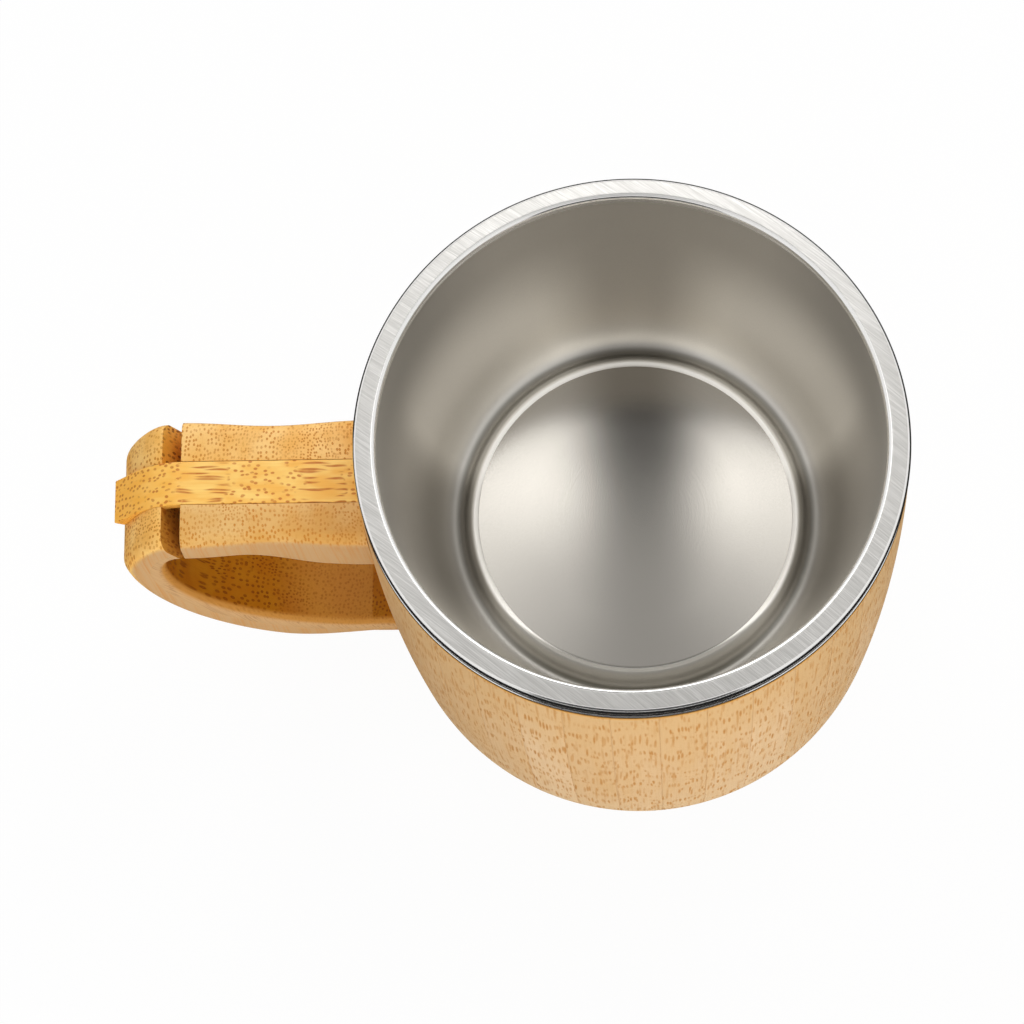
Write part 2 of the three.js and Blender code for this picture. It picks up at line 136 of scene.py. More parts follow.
class ShellSettings(PropertyGroup):
    """Sizes and tints of the stave shell and its base."""

    count: IntProperty(description="Staves round the shell", default=len(STAVES), min=8)
    seed: IntProperty(description="Order of the staves' tones", default=11)
    wall: length("Thickness of a stave", 0.004)
    belly: length("Swell of the wall past the rim's radius", 0.00092)
    heel_height: length("Height of the rounded bottom edge", 0.014)
    heel_inset: length("Narrowing from the rim to the top of the heel", 0.0015)
    heel_fullness: share("Nought cuts the corner straight, one keeps it sharp", 0.7)
    foot_radius: length("Where the heel runs out on the underside", 0.034)
    ledge: length("Depth of the staves' shoulder below the rim's top", 0.0049)
    ledge_width: length("Shoulder that the skirt stands over", 0.0006)
    ledge_edge: length("Width of its outer strip", 0.0003)
    top: length("Depth of the staves' tops below the rim's top", 0.0022)
    bore: length("Stave at its top, from the rim's outer edge to the bore", 0.0028)
    bore_length: length("Straight bore below the top", 0.01)
    bore_taper: length("Stretch where the bore draws in to the wall", 0.016)
    glue: length("Gap between neighbouring staves", 0.000006)
    seam_dip: length("How far a stave's edge lies below its face", 0.00003)
    base_radius: length("Radius of the base disc", BASE_HIGH.x)
    base_thickness: length("Thickness of the base disc", BASE_HIGH.z)
    base_edge: length("Rounding of the base disc", 0.0006)
    base_play: length("Gap round the base disc", 0.0002)
    base_gap: length("Gap above the base disc", 0.0003)
    lip: length("Lip of the staves over the base disc", 0.002)
    lip_height: length("Thickness of that lip", 0.0025)
    row_pitch: length("From one row of dashes to the next", 0.0088)
    board: length("Width of a board in the base", 0.0115)
    light: colour("Ground tone between the fibres", (0.75, 0.51, 0.27))
    dark: colour("Tone of the fibre bundles", (0.54, 0.225, 0.035))
    # painted shade under the rim's skirt
    brow: colour("Tone of the staves' upper edge", (0.72, 0.34, 0.05))
    seam: colour("Tone of the glue between boards", (0.36, 0.13, 0.025))


class HandleSettings(PropertyGroup):
    """Sizes and tints of the handle. Reaches are measured from the rim's outer edge."""

    reach: length("Outermost point of the lower arm", -LOWER_LOW.x - RIM_RADIUS)
    bottom: length("Height of the handle's underside", LOWER_LOW.z)
    width: length("Width of both arms", 2 * LOWER_HIGH.y)
    waist: length("Narrowest width of the upper arm", 0.0201)
    edge: length("Rounding of the arms' upper edges", 0.0024)
    loop_edge: length("Rounding of the edges round the loop", 0.0018)
    arm_length: length("Reach of the upper arm", -UPPER_LOW.x - RIM_RADIUS)
    arm_thickness: length("Thickness of the upper arm at the notch", 0.0084)
    arm_root: length("Thickness of the upper arm at the shell", 0.0136)
    flare_start: length("Reach where the underside begins to rise", 0.007)
    flare_end: length("Reach where the underside runs level again", 0.021)
    notch: length("Width across the top of the V", 0.0032)
    notch_foot: length("Gap at the foot of the V", 0.0003)
    nose_set: length("Nose below the upper arm's top", 0.0011)
    nose_height: length("Depth where the nose stands upright", 0.0163)
    nose_edge: length("Rounding of the nose's corners", 0.0025)
    thickness: length("Lower arm at the loop's outermost point", 0.007)
    root: length("Lower arm along the bottom", 0.008)
    foot_edge: length("Rounding of the lower edges at the shell", 0.005)
    foot_reach: length("Where that rounding has run out", 0.016)
    bend_reach: length("Where the outer curve runs level", 0.0125)
    loop_reach: length("Where the loop's curve runs level", 0.004)
    loop_shoulder: length("Depth of the loop's outermost point", 0.0178)
    nose_fullness: share("Fullness of the nose's bend", 0.33)
    sweep_fullness: share("Fullness of the outer bend", 0.485)
    loop_fullness: share("Fullness of the loop's bend", 0.55)
    gap: length("Clearance round the strip", 0.00003)
    shell_gap: length("Gap between handle and shell", 0.0001)
    broken: length("Width of the broken edges", 0.00022)
    light: colour("Ground tone of the arms", (0.95, 0.56, 0.165))
    side: colour("Ground tone of the arms' upright faces", (0.56, 0.34, 0.155))
    dark: colour("Tone of the arms' fibre bundles", (0.56, 0.20, 0.012))
    # painted shade in the loop: a mid tone on its rounded edges and a dark deep amber inside
    brow: colour("Ground tone of the loop's rounded edges", (0.52, 0.245, 0.05))
    loop: colour("Ground tone inside the loop", (0.34, 0.12, 0.003))


class StripSettings(PropertyGroup):
    """Sizes and tints of the bent strip."""

    width: length("Width of the strip", STRIP_HIGH.y - STRIP_LOW.y)
    thickness: length("Thickness of the strip", 0.002)
    tail: length("How far its groove's line runs on into the shell", 0.0026)
    reach: length("Reach of the upper edge of its free end", -STRIP_LOW.x - RIM_RADIUS)
    drop: length("Depth of that edge below the arm's top", 0.0105)
    slope: angle("Fall of the free end", 51)
    edge: length("Rounding of the long edges", 0.0002)
    first_lines: length("Middle of the first patch of dark lines", 0.0091)
    lines_apart: length("From one patch of dark lines to the next", 0.019)
    light: colour("Ground tone of the strip", (0.97, 0.53, 0.095))
    dark: colour("Tone of the strip's fibre bundles", (0.5, 0.13, 0.004))


class StudioSettings(PropertyGroup):
    """Camera and lamps."""

    distance: length("Camera to the middle of the rim", 0.6)
    tilt: angle("Line of sight off the mug's axis", 16.955)
    turn: angle("Camera round the mug's axis", 2.62)
    roll: angle("Camera round the line of sight", -3.4)
    lens: number("Focal length", 135.82, "CAMERA")
    across: share("Rim's middle in the picture, from the left", 0.61579)
    down: share("Rim's middle in the picture, from the top", 0.42821)
    ambient: number("Light from all round", 0.45)
    key: number("Power of the front lamp", 19.0, "POWER")
    side: number("Power of each side lamp", 4.8, "POWER")
    flag: number("Darkest level of the sky that the cup reflects", 0.06)
    glow: number("Brightest level of that sky", 1.9)
    sky_middle: length("Place in that sky that the middle of the cup's floor reflects", 0.351)
    sky_spread: length("Breadth of the dark there", 0.167)
    floor_glow: share("How far the floor looks plain white", 0.96)
    floor_drop: length("Floor below the mug's underside", 0.0002)


# Curves and outlines


def bezier(points, steps):
    """Points along a Bezier curve of any degree."""
    line = []
    for i in range(steps + 1):
        t = i / steps
        row = [np.array(p, float) for p in points]
        while len(row) > 1:
            row = [a * (1 - t) + b * t for a, b in zip(row, row[1:])]
        line.append(tuple(row[0]))
    return line


def bend(start, corner, end, fullness, steps):
    """A bend between two points, drawn towards the corner where its end directions meet."""
    start, corner, end = (np.array(p, float) for p in (start, corner, end))
    return bezier([start, start + (corner - start) * fullness, end + (corner - end) * fullness, end], steps)


def arc(centre, radius, first, last, steps):
    """Points of a circle's arc, between two angles in degrees."""
    turns = [math.radians(first + (last - first) * i / steps) for i in range(steps + 1)]
    return [(centre[0] + radius * math.cos(a), centre[1] + radius * math.sin(a)) for a in turns]


def left_of(line, distance):
    """The line moved to its left."""
    moved = []
    for i, here in enumerate(line):
        before, after = line[max(i - 1, 0)], line[min(i + 1, len(line) - 1)]
        along = Vector((after[0] - before[0], after[1] - before[1])).normalized()
        moved.append((here[0] - along.y * distance, here[1] + along.x * distance))
    return moved


def run_of(line):
    """Each point's distance from the first, along the line."""
    return np.concatenate([[0], np.cumsum([math.dist(a, b) for a, b in zip(line, line[1:])])])


def ease(value, low, high):
    """Smooth step from nought to one."""
    t = min(max((value - low) / (high - low), 0), 1)
    return t * t * (3 - 2 * t)


def blend(a, b, t):
    """The value at a share t of the way from a to b."""
    return a + (b - a) * t


# Meshes


def piece(name, mesh):
    """A new object at the origin that shows a mesh."""
    obj = bpy.data.objects.new(name, mesh)
    bpy.context.scene.collection.objects.link(obj)
    return obj


def solid(name, bm):
    """A new object that shows a closed mesh, with its faces outward."""
    bmesh.ops.recalc_face_normals(bm, faces=bm.faces)
    mesh = bpy.data.meshes.new(name)
    bm.to_mesh(mesh)
    bm.free()
    return piece(name, mesh)


def smooth(mesh, limit=32):
    """Smooth faces, with hard edges where the surface turns by more than the limit in degrees."""
    mesh.polygons.foreach_set("use_smooth", [True] * len(mesh.polygons))
    mesh.set_sharp_from_angle(angle=math.radians(limit))
    mesh.update()


def finish_mesh(obj):
    """Leaves the object with a plain mesh and no modifiers."""
    bpy.context.view_layer.update()
    evaluated = obj.evaluated_get(bpy.context.evaluated_depsgraph_get())
    mesh = bpy.data.meshes.new_from_object(evaluated)
    mesh.name = obj.name
    obj.modifiers.clear()
    obj.data = mesh


def seat(obj, nodes):
    """Gives a finished piece its body and hides the nodes that it stands for."""
    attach(obj, BODY)
    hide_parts(*nodes)


def turned(name, outline, steps, materials=None):
    """Revolves a closed outline of (radius, height) round the mug's axis."""
    bm = bmesh.new()
    rings = []
    turns = [2 * math.pi * k / steps for k in range(steps)]
    for radius, height in outline:
        if radius < 1e-7:
            rings.append([bm.verts.new((0, 0, height))] * steps)
            continue
        rings.append([bm.verts.new((radius * math.cos(a), radius * math.sin(a), height)) for a in turns])
    for i, here in enumerate(rings):
        there = rings[(i + 1) % len(rings)]
        if here[0] is here[1] and there[0] is there[1]:
            continue
        for k in range(steps):
            corners = [here[k], here[(k + 1) % steps], there[(k + 1) % steps], there[k]]
            face = bm.faces.new(list(dict.fromkeys(corners)))
            if materials:
                face.material_index = materials[i]
    obj = solid(name, bm)
    smooth(obj.data)
    return obj


def loft(name, rings, inside=(), first_cap=0, grain=None):
    """Skins rings of equal length and closes both ends.

    Segments named in inside get the second material, and first_cap is the material of the first end.
    """
    bm = bmesh.new()
    layer = bm.verts.layers.float_vector.new("grain") if grain else None
    rows = []
    for i, ring in enumerate(rings):
        row = [bm.verts.new(p) for p in ring]
        for j, vert in enumerate(row if grain else ()):
            vert[layer] = grain[i][j]
        rows.append(row)
    count = len(rings[0])
    for here, there in zip(rows, rows[1:]):
        for j in range(count):
            face = bm.faces.new([here[j], here[(j + 1) % count], there[(j + 1) % count], there[j]])
            face.material_index = 1 if j in inside else 0
    bm.faces.new(rows[0][::-1]).material_index = first_cap
    bm.faces.new(rows[-1])
    bmesh.ops.remove_doubles(bm, verts=bm.verts, dist=2e-6)
    bmesh.ops.dissolve_degenerate(bm, edges=bm.edges, dist=1e-6)
    return solid(name, bm)


def break_edges(obj, width):
    """Takes the sharpness off a piece's hard edges."""
    bevel = obj.modifiers.new("Broken edges", "BEVEL")
    bevel.width = width
    bevel.segments = 2
    bevel.limit_method = "ANGLE"
    bevel.angle_limit = math.radians(38)
    finish_mesh(obj)
    smooth(obj.data)


# Node trees and shader maths


def add_node(tree, kind, settings=None, values=None):
    """A new node. Its settings come first, then its inputs: sockets are linked and other values are set."""
    made = tree.nodes.new(kind)
    for key, value in (settings or {}).items():
        setattr(made, key, value)
    for key, value in (values or {}).items():
        if isinstance(value, NodeSocket):
            tree.links.new(value, made.inputs[key])
        else:
            made.inputs[key].default_value = value
    return made


def maths_node(tree, operation, *values):
    """The output of a new maths node."""
    return add_node(tree, "ShaderNodeMath", {"operation": operation}, dict(enumerate(values))).outputs[0]


def infix(operation, swapped=False):
    """A method that puts a field and another value into a maths node."""

    def method(self, other):
        return self.shader.maths(operation, *((other, self) if swapped else (self, other)))

    return method


class Field:
    """A shader socket that takes part in Python expressions."""

    __add__ = __radd__ = infix("ADD")
    __mul__ = __rmul__ = infix("MULTIPLY")
    __sub__ = infix("SUBTRACT")
    __rsub__ = infix("SUBTRACT", swapped=True)
    __truediv__ = infix("DIVIDE")
    __pow__ = infix("POWER")

    def __init__(self, shader, socket):
        self.shader = shader
        self.socket = socket

    def __abs__(self):
        return self.shader.maths("ABSOLUTE", self)


class Shader:
    """A material whose nodes are written as expressions."""

    def __init__(self, name):
        self.material = bpy.data.materials.new(name)
        self.material.use_nodes = True
        self.tree = self.material.node_tree
        self.tree.nodes.clear()

    def node(self, kind, settings=None, values=None, out=0):
        """The output of a new node, whose inputs are fields or plain values."""
        inputs = {key: v.socket if isinstance(v, Field) else v for key, v in (values or {}).items()}
        made = add_node(self.tree, kind, settings, inputs)
        return Field(self, made.outputs[out]) if made.outputs else None

    def maths(self, operation, *values):
        return self.node("ShaderNodeMath", {"operation": operation}, dict(enumerate(values)))

    def place(self, out="Object"):
        """Object coordinates in metres, or the surface's direction."""
        return self.node("ShaderNodeTexCoord", out=out)

    def attribute(self, name, out="Fac"):
        return self.node("ShaderNodeAttribute", {"attribute_name": name}, out=out)

    def split(self, vector):
        parts = self.node("ShaderNodeSeparateXYZ", values={0: vector})
        return [Field(self, socket) for socket in parts.socket.node.outputs]

    def join(self, x, y, z=0.0):
        return self.node("ShaderNodeCombineXYZ", values={0: x, 1: y, 2: z})

    def stretch(self, vector, sizes):
        """Vector in units of a cell that measures sizes."""
        values = {0: vector, 1: tuple(1 / s for s in sizes)}
        return self.node("ShaderNodeVectorMath", {"operation": "MULTIPLY"}, values)

    def noise(self, vector, sizes, detail=2.0, rough=0.5):
        """Noise whose lumps measure sizes."""
        values = {"Vector": self.stretch(vector, sizes), "Scale": 1.0, "Detail": detail, "Roughness": rough}
        return self.node("ShaderNodeTexNoise", {"noise_dimensions": "3D"}, values, "Fac")

    def chance(self, value):
        """A random number for each value."""
        return self.node("ShaderNodeTexWhiteNoise", {"noise_dimensions": "1D"}, {"W": value}, "Value")

    def cells(self, flat, sizes, scatter=1.0, out="Distance"):
        """Cells of a flat pattern, from the vector's first two parts."""
        values = {"Vector": self.stretch(flat, (*sizes, 1)), "Scale": 1.0, "Randomness": scatter}
        return self.node("ShaderNodeTexVoronoi", {"voronoi_dimensions": "2D", "feature": "F1"}, values, out)

    def step(self, value, low, high):
        """Smooth rise from nought at low to one at high, or a fall where low is the greater."""
        ends = (0.0, 1.0) if low <= high else (1.0, 0.0)
        values = {0: value, 1: min(low, high), 2: max(low, high), 3: ends[0], 4: ends[1]}
        return self.node("ShaderNodeMapRange", {"interpolation_type": "SMOOTHSTEP"}, values)

    def tint(self, factor, first, second, blend_type="MIX"):
        """Colour between two colours or fields."""
        pair = [c if isinstance(c, Field) else (*c[:3], 1) for c in (first, second)]
        settings = {"data_type": "RGBA", "blend_type": blend_type}
        return self.node("ShaderNodeMix", settings, {0: factor, 6: pair[0], 7: pair[1]}, 2)

    def coats(self, ground, *coats):
        """Coats of (factor, colour), one over the other."""
        for factor, over in coats:
            ground = self.tint(factor, ground, over)
        return ground

    def relief(self, height, distance, strength):
        values = {"Strength": strength, "Distance": distance, "Height": height}
        return self.node("ShaderNodeBump", values=values)

    def finish(self, **sockets):
        """The one surface shader. Names are the sockets' names with underscores."""
        values = {key.replace("_", " "): value for key, value in sockets.items()}
        return self.output(self.node("ShaderNodeBsdfPrincipled", values=values))

    def output(self, surface):
        self.node("ShaderNodeOutputMaterial", values={"Surface": surface})
        return self.material


def thrice(value):
    """One value three times: a lump of one size in all directions, or a grey."""
    return (value, value, value)


def bundles(sh, flat, sizes, dot, soft, skip=0.1, scatter=1.0):
    """Mask of a flat pattern of fibre bundles, with some left out. The dot is a share of its cell."""
    near = sh.cells(flat, sizes, scatter)
    lot = sh.node("ShaderNodeSeparateColor", values={0: sh.cells(flat, sizes, scatter, "Color")})
    return sh.step(near, dot + soft, dot) * sh.step(lot, skip, skip + 0.15)


def shade(tint, *parts):
    """A colour with each part scaled."""
    return [c * k for c, k in zip(tint, parts)]


def stave_bamboo(p):
    """Pale staves: rows of short fibre dashes in arcs, a tone for each stave and a glue line at its sides."""
    sh = Shader("Stave bamboo")
    across, along, seam = sh.split(sh.attribute("grain", "Vector"))
    tone = sh.attribute("stave_tone")
    other = sh.chance(tone * 91.0)
    x, y = across + tone * 3.7, along + other * 1.9
    own = sh.join(x, y)
    wave = sh.noise(own, (0.005, 0.02, 1), 1.0) - 0.5
    bowed = y + across * across * 600.0 * (other - 0.35) + wave * 0.012
    crowded = sh.step(sh.maths("SINE", bowed * (2 * math.pi / p.row_pitch)), -0.95, 0.0)
    rows = sh.join(x + wave * 0.0009, bowed)
    patch = sh.noise(own, (0.0045, 0.017, 1))
    fade = 0.55 + 0.45 * sh.step(sh.noise(own, (0.0016, 0.009, 1), 1.0), 0.35, 0.65)
    dashes = bundles(sh, rows, (0.00062, 0.0066), dot=0.2, soft=0.22, skip=0.06, scatter=0.85)
    dashes = dashes * sh.step(patch, 0.3, 0.48) * crowded * fade
    lines = bundles(sh, rows, (0.00095, 0.026), dot=0.1, soft=0.2, skip=0.2)
    lines = lines * sh.step(patch, 0.6, 0.42) * fade
    mark = sh.maths("MAXIMUM", dashes * 0.9, lines * 0.7)
    fibre = sh.noise(own, (0.00022, 0.03, 1))
    cloud = sh.noise(own, (0.003, 0.03, 1))
    light, dark = p.light, p.dark
    golden, paler = (0.05, 0.09), (0.04, 0.005)  # up the stave: darker and more golden towards its top, paler towards its foot
    edge = MUG_HEIGHT - grain_start(p)
    under_skirt_shade = (edge - 0.0011, edge - 0.0003)  # fade to the painted shade under the rim's skirt
    body = sh.coats(
        sh.tint(tone, shade(light, 1.05, 1.1, 1.22), shade(light, 0.92, 0.86, 0.76)),
        (sh.step(cloud, 0.4, 0.72) * 0.45, shade(light, 0.92, 0.82, 0.62)),
        (sh.step(along, *golden) * 0.8, shade(light, 0.92, 0.85, 0.7)),
        (sh.step(along, *paler) * 0.7, shade(light, 1.05, 1.12, 1.25)),
        (sh.step(fibre, 0.4, 0.75) * 0.25, shade(light, 0.86, 0.76, 0.6)),
        (mark, dark),
        (sh.step(seam, 0.95, 0.99) * 0.16, shade(dark, 0.7, 0.6, 0.5)),
        (sh.step(along, *under_skirt_shade) * 0.7, p.brow),
    )
    return sh.finish(
        Base_Color=body, Roughness=0.46 + fibre * 0.1 - mark * 0.06, Specular_IOR_Level=0.35,
        Normal=sh.relief(mark * -0.4 + fibre * 0.35, 0.00003, 0.4), Coat_Weight=0.05, Coat_Roughness=0.25,
    )


def arm_bamboo(name, light, dark, side, turn=(0.8, 0.985), lean=0.02, gloss=0.3, near_side_shade=0.0, rounded=None):
    """Bamboo whose fibres run upright: dots on level faces, and paler upright faces with long streaks."""
    sh = Shader(name)
    place = sh.place()
    x, y, z = sh.split(place)
    _, facing, _ = sh.split(sh.place("Normal"))
    upright = sh.step(abs(facing), *turn)
    sway = sh.noise(place, (0.011, 0.011, 0.04), 1.0) - 0.5
    flat = sh.join(x + sway * 0.0022 + z * lean, y - sway * 0.0018)
    bold_cell, bold_scatter = (0.00064, 0.00086), 0.7
    bold = bundles(sh, flat, bold_cell, dot=0.2, soft=0.15, skip=0.08, scatter=bold_scatter)
    near = sh.cells(flat, bold_cell, bold_scatter)
    fine = bundles(sh, flat, (0.00046, 0.00058), dot=0.2, soft=0.2, skip=0.05, scatter=0.75)
    many = sh.step(sh.noise(place, (0.008, 0.0055, 0.05), 1.0), 0.41, 0.51)
    fade = 0.55 + 0.45 * sh.step(sh.noise(place, (0.0035, 0.003, 0.009), 1.0), 0.3, 0.6)
    mark = (fine * (1 - many) + bold * many) * fade * (1 - upright * 0.65)
    streak = sh.noise(flat, (0.00028, 0.00028, 1))
    cloud = sh.noise(place, thrice(1 / 170))
    coats = []
    if near_side_shade:
        near_side = (0.004, -0.006)  # painted shade: across the arm, darker towards the side that the camera is on
        coats.append((sh.step(y, *near_side) * near_side_shade, shade(light, 0.5, 0.42, 0.35)))
    if rounded:
        # lighter tone on the rounded edges of the loop's painted shade
        over = sh.step(abs(facing), 0.1, 0.55)
        outer_fade, root_fade = (-0.064, -0.054), (-0.0458, -0.0462)  # both ends, along X, of a paler band in the loop
        paler_band = sh.step(x, *outer_fade) * sh.step(x, *root_fade)
        mark = mark * (1 - over * 0.85) * (1 - paler_band * 0.6)
        coats += [(paler_band * 0.5, rounded), (over, rounded)]
    body = sh.coats(
        sh.tint(sh.step(cloud, 0.3, 0.7), shade(light, 1.03, 1.13, 1.4), shade(light, 0.93, 0.85, 0.68)),
        *coats,
        (upright, side),
        (sh.step(streak, 0.45, 0.75) * (0.18 + upright * 0.25), shade(dark, 1.0, 1.15, 1.5)),
        (mark * 0.95, dark),
        (sh.step(near, 0.11, 0.03) * many * 0.3 * (1 - upright), light),
    )
    return sh.finish(
        Base_Color=body, Roughness=0.48 + cloud * 0.12 - mark * 0.08, Specular_IOR_Level=gloss,
        Normal=sh.relief(mark * -0.4 + streak * 0.3, 0.00003, 0.4),
        Coat_Weight=gloss * 0.15, Coat_Roughness=0.25,
    )


def strip_bamboo(p):
    """Fibres along the strip: dark lines where the grain runs flat, and dots where it dips."""
    sh = Shader("Strip bamboo")
    grain = sh.attribute("grain", "Vector")
    along, across, _ = sh.split(grain)
    sway = sh.noise(grain, (0.007, 0.003, 0.01), 1.0) - 0.5
    flat = sh.join(along + sway * 0.001, across + sway * 0.0009)
    dots = bundles(sh, flat, (0.00125, 0.00076), dot=0.18, soft=0.16)
    lines = bundles(sh, flat, (0.0075, 0.00062), dot=0.18, soft=0.2)
    turn = (along + sway * 0.004 - p.first_lines) * (2 * math.pi / p.lines_apart)
    last_lines, amber = (0.038, 0.034), (0.022, 0.05)  # along the strip: end of the lines, and fade to amber
    level = sh.step(sh.maths("COSINE", turn), 0.25, 0.5) * sh.step(along, *last_lines)
    keep = sh.step(sh.noise(grain, (0.0035, 0.0022, 0.01), 1.0), 0.34, 0.46)
    fade = 0.75 + 0.25 * sh.step(sh.noise(grain, (0.002, 0.0012, 0.01), 1.0), 0.35, 0.6)
    mark = (dots * keep * (1 - level) * 0.85 + lines * level * 0.9) * fade
    cloud = sh.noise(grain, (0.006, 0.002, 0.01))
    fibre = sh.noise(grain, (0.02, 0.00022, 0.01))
    light = p.light
    body = sh.coats(
        sh.tint(sh.step(cloud, 0.3, 0.7), shade(light, 1.03, 1.25, 1.85), shade(light, 0.96, 0.92, 0.8)),
        (sh.step(fibre, 0.45, 0.8) * 0.3, shade(light, 0.85, 0.72, 0.45)),
        (sh.step(along, *amber) * 0.75, shade(light, 1.0, 0.8, 0.25)),
        (mark, p.dark),
    )
    return sh.finish(
        Base_Color=body, Roughness=0.42 + cloud * 0.12, Specular_IOR_Level=0.4,
        Normal=sh.relief(mark * -0.5 + fibre * 0.3, 0.00006, 0.5), Coat_Weight=0.08, Coat_Roughness=0.22,
    )


def board_bamboo(p):
    """The base: boards glued side by side, with their fibres along X."""
    sh = Shader("Board bamboo")
    x, y, _ = sh.split(sh.place())
    boards = y / p.board + 0.5
    tone = sh.chance(sh.maths("FLOOR", boards))
    own = sh.join(x + tone * 0.4, y, tone * 3)
    dashes = bundles(sh, own, (0.009, 0.0008), dot=0.16, soft=0.18)
    fibre = sh.noise(own, (0.03, 0.00025, 1))
    deep = shade(p.light, 0.88, 0.8, 0.68)
    body = sh.coats(
        sh.tint(tone, p.light, deep),
        (sh.step(fibre, 0.4, 0.75) * 0.25, deep),
        (dashes * 0.6, p.dark),
        (sh.step(abs(sh.maths("FRACT", boards) - 0.5), 0.485, 0.498) * 0.8, p.seam),
    )
    return sh.finish(Base_Color=body, Roughness=0.5 + fibre * 0.1, Normal=sh.relief(fibre, 0.00005, 0.4))


def satin_steel(p, floor):
    """Blasted floor or wall of the cup: fine sparkle over turned lines, and painted shade in the moat. On the
    wall, painted reflections in pale fields, a painted highlight on the floor's edge and painted shade high
    on its sides; on the floor, painted shade at its far edge.
    """
    sh = Shader("Satin floor steel" if floor else "Satin wall steel")
    roughness, pull = (0.1, 0.0) if floor else (0.36, 0.3)
    place = sh.place()
    x, y, z = sh.split(place)
    radius = (x * x + y * y) ** 0.5
    side, back = abs(x) / radius, y / radius
    front = sh.step(back, -0.5, -0.95)
    grit = sh.noise(place, thrice(1 / 5200), rough=0.6)
    haze = sh.noise(place, thrice(1 / 60))
    lines = sh.noise(sh.join(radius, z), thrice(1 / 2600))
    steel = p.satin
    if not floor:
        painted_reflection_heights, painted_shade_heights = (0.084, 0.06), (0.066, 0.086)  # heights over which the painted reflections low on the wall and the painted shade high on it come in
        low = sh.step(side, 0.1, 0.45) * sh.step(side, 1.0, 0.94) * sh.step(z, *painted_reflection_heights)
        # painted reflection: paler fields low on the far wall on either side, and over the whole near half
        steel = sh.tint(low * sh.step(back, 0.0, 0.3) + sh.step(back, -0.3, -0.75), p.wall, p.pale)
    steel = sh.tint(sh.step(haze, 0.35, 0.65) * 0.12, steel, thrice(0.86), "MULTIPLY")
    steel = sh.tint(sh.step(grit, 0.35, 0.7) * 0.16, steel, thrice(0.8), "MULTIPLY")
    edge = p.floor_radius
    moat = edge + p.moat_width
    if not floor:
        # painted shade high on the wall at either side
        upper_side_shade = sh.step(z, *painted_shade_heights) * sh.step(side, 0.5, 0.9)
        steel = sh.tint(upper_side_shade, steel, thrice(0.68), "MULTIPLY")
        ring_highlight_fade = (0.0008, 0.0003)  # fade to the painted highlight on the floor's edge
        ring = sh.step(abs(radius - edge), *ring_highlight_fade) * (1 - front)
        steel = sh.tint(ring * 0.65, steel, p.pale)
    inner_fade, outer_fade, front_shift = 0.0006, 0.0024, 0.0012  # widths of the painted shade's fades in the moat, and its shift at the front
    groove = sh.step(radius + front * front_shift, edge, edge + inner_fade)
    groove = groove * sh.step(radius, moat + outer_fade, moat)
    deepest = sh.step(abs(radius - moat), 0.0009, 0.0002)
    # painted shade in the moat, deeper on its deepest line and at the front
    steel = sh.tint(groove * (deepest * 0.2 + front * 0.24 + 0.56), steel, p.groove, "MULTIPLY")
    if floor:
        far_back, far_sides = (0.013, 0.021), (0.013, 0.002)  # fades of the painted shade at the floor's far edge, in Y and X
        far_edge_shade = sh.step(y, *far_back) * sh.step(abs(x), *far_sides)
        steel = sh.tint(far_edge_shade, steel, p.far_edge_shade, "MULTIPLY")
    return sh.finish(
        Base_Color=steel, Metallic=1.0, Roughness=roughness + grit * 0.05 + haze * 0.03,
        Normal=sh.relief(grit * 0.7 + lines * 0.3, 0.00001, 0.35),
        Anisotropic=pull, Anisotropic_Rotation=0.25,
    )


def brushed_steel(p):
    """Flat of the rim: straight scratches from one linishing belt, all in one direction."""
    sh = Shader("Brushed rim steel")
    belt = {"Vector": sh.place(), "Rotation": (0, 0, p.belt)}
    along_belt = sh.node("ShaderNodeMapping", values=belt)
    scratch = sh.noise(along_belt, (0.00009, 0.006, 0.01), 3.0, 0.65)
    broad = sh.noise(along_belt, (0.0005, 0.012, 0.01))
    steel = sh.coats(
        p.brushed,
        (sh.step(scratch, 0.35, 0.65) * 0.6, shade(p.brushed, 0.55, 0.55, 0.54)),
        (sh.step(broad, 0.4, 0.7) * 0.45, shade(p.brushed, 0.7, 0.7, 0.69)),
    )
    normal = sh.relief(scratch * 0.6 + broad * 0.4, 0.00004, 0.6)
    return sh.finish(Base_Color=steel, Metallic=1.0, Roughness=0.36 + scratch * 0.18, Normal=normal)


def polished_steel(p):
    """Rolled edges and skirt of the rim."""
    sh = Shader("Polished edge steel")
    rub = sh.noise(sh.place(), (0.004, 0.004, 0.0003))
    steel = sh.tint(sh.step(rub, 0.4, 0.7) * 0.12, p.polished, shade(p.polished, *thrice(0.85)))
    normal = sh.relief(rub, 0.000004, 0.3)
    return sh.finish(Base_Color=steel, Metallic=1.0, Roughness=0.13 + rub * 0.06, Normal=normal)


def soft_rubber():
    sh = Shader("Seal rubber")
    speck = sh.noise(sh.place(), thrice(1 / 900))
    tint = sh.tint(sh.step(speck, 0.4, 0.7) * 0.2, (0.72, 0.72, 0.70), (0.6, 0.6, 0.58))
    return sh.finish(Base_Color=tint, Roughness=0.7 + speck * 0.15, Normal=sh.relief(speck, 0.00004, 0.3))


# Liner and shell

SATIN, BRUSHED, POLISHED, CROWNED = range(4)
HEM_POINTS = 14  # points of the liner's line that its hem and the foot of its skirt take up


def crown_drop(p, radius):
    """Fall of the crowned floor from its middle: round at first, then flattening out."""
    inner = min(radius, p.crown_radius)
    return p.crown * (2 * radius - inner) * inner - p.relaxing * (radius - inner) ** 2


def crowned_floor(p, start, level, count):
    """The floor's line from its bead to the middle. A short first step keeps the bead crisp."""
    line = []
    for k in (count - 0.1, *range(count - 1, -1, -1)):
        radius = start * k / count
        line.append((radius, level + crown_drop(p, start) - crown_drop(p, radius)))
    return line


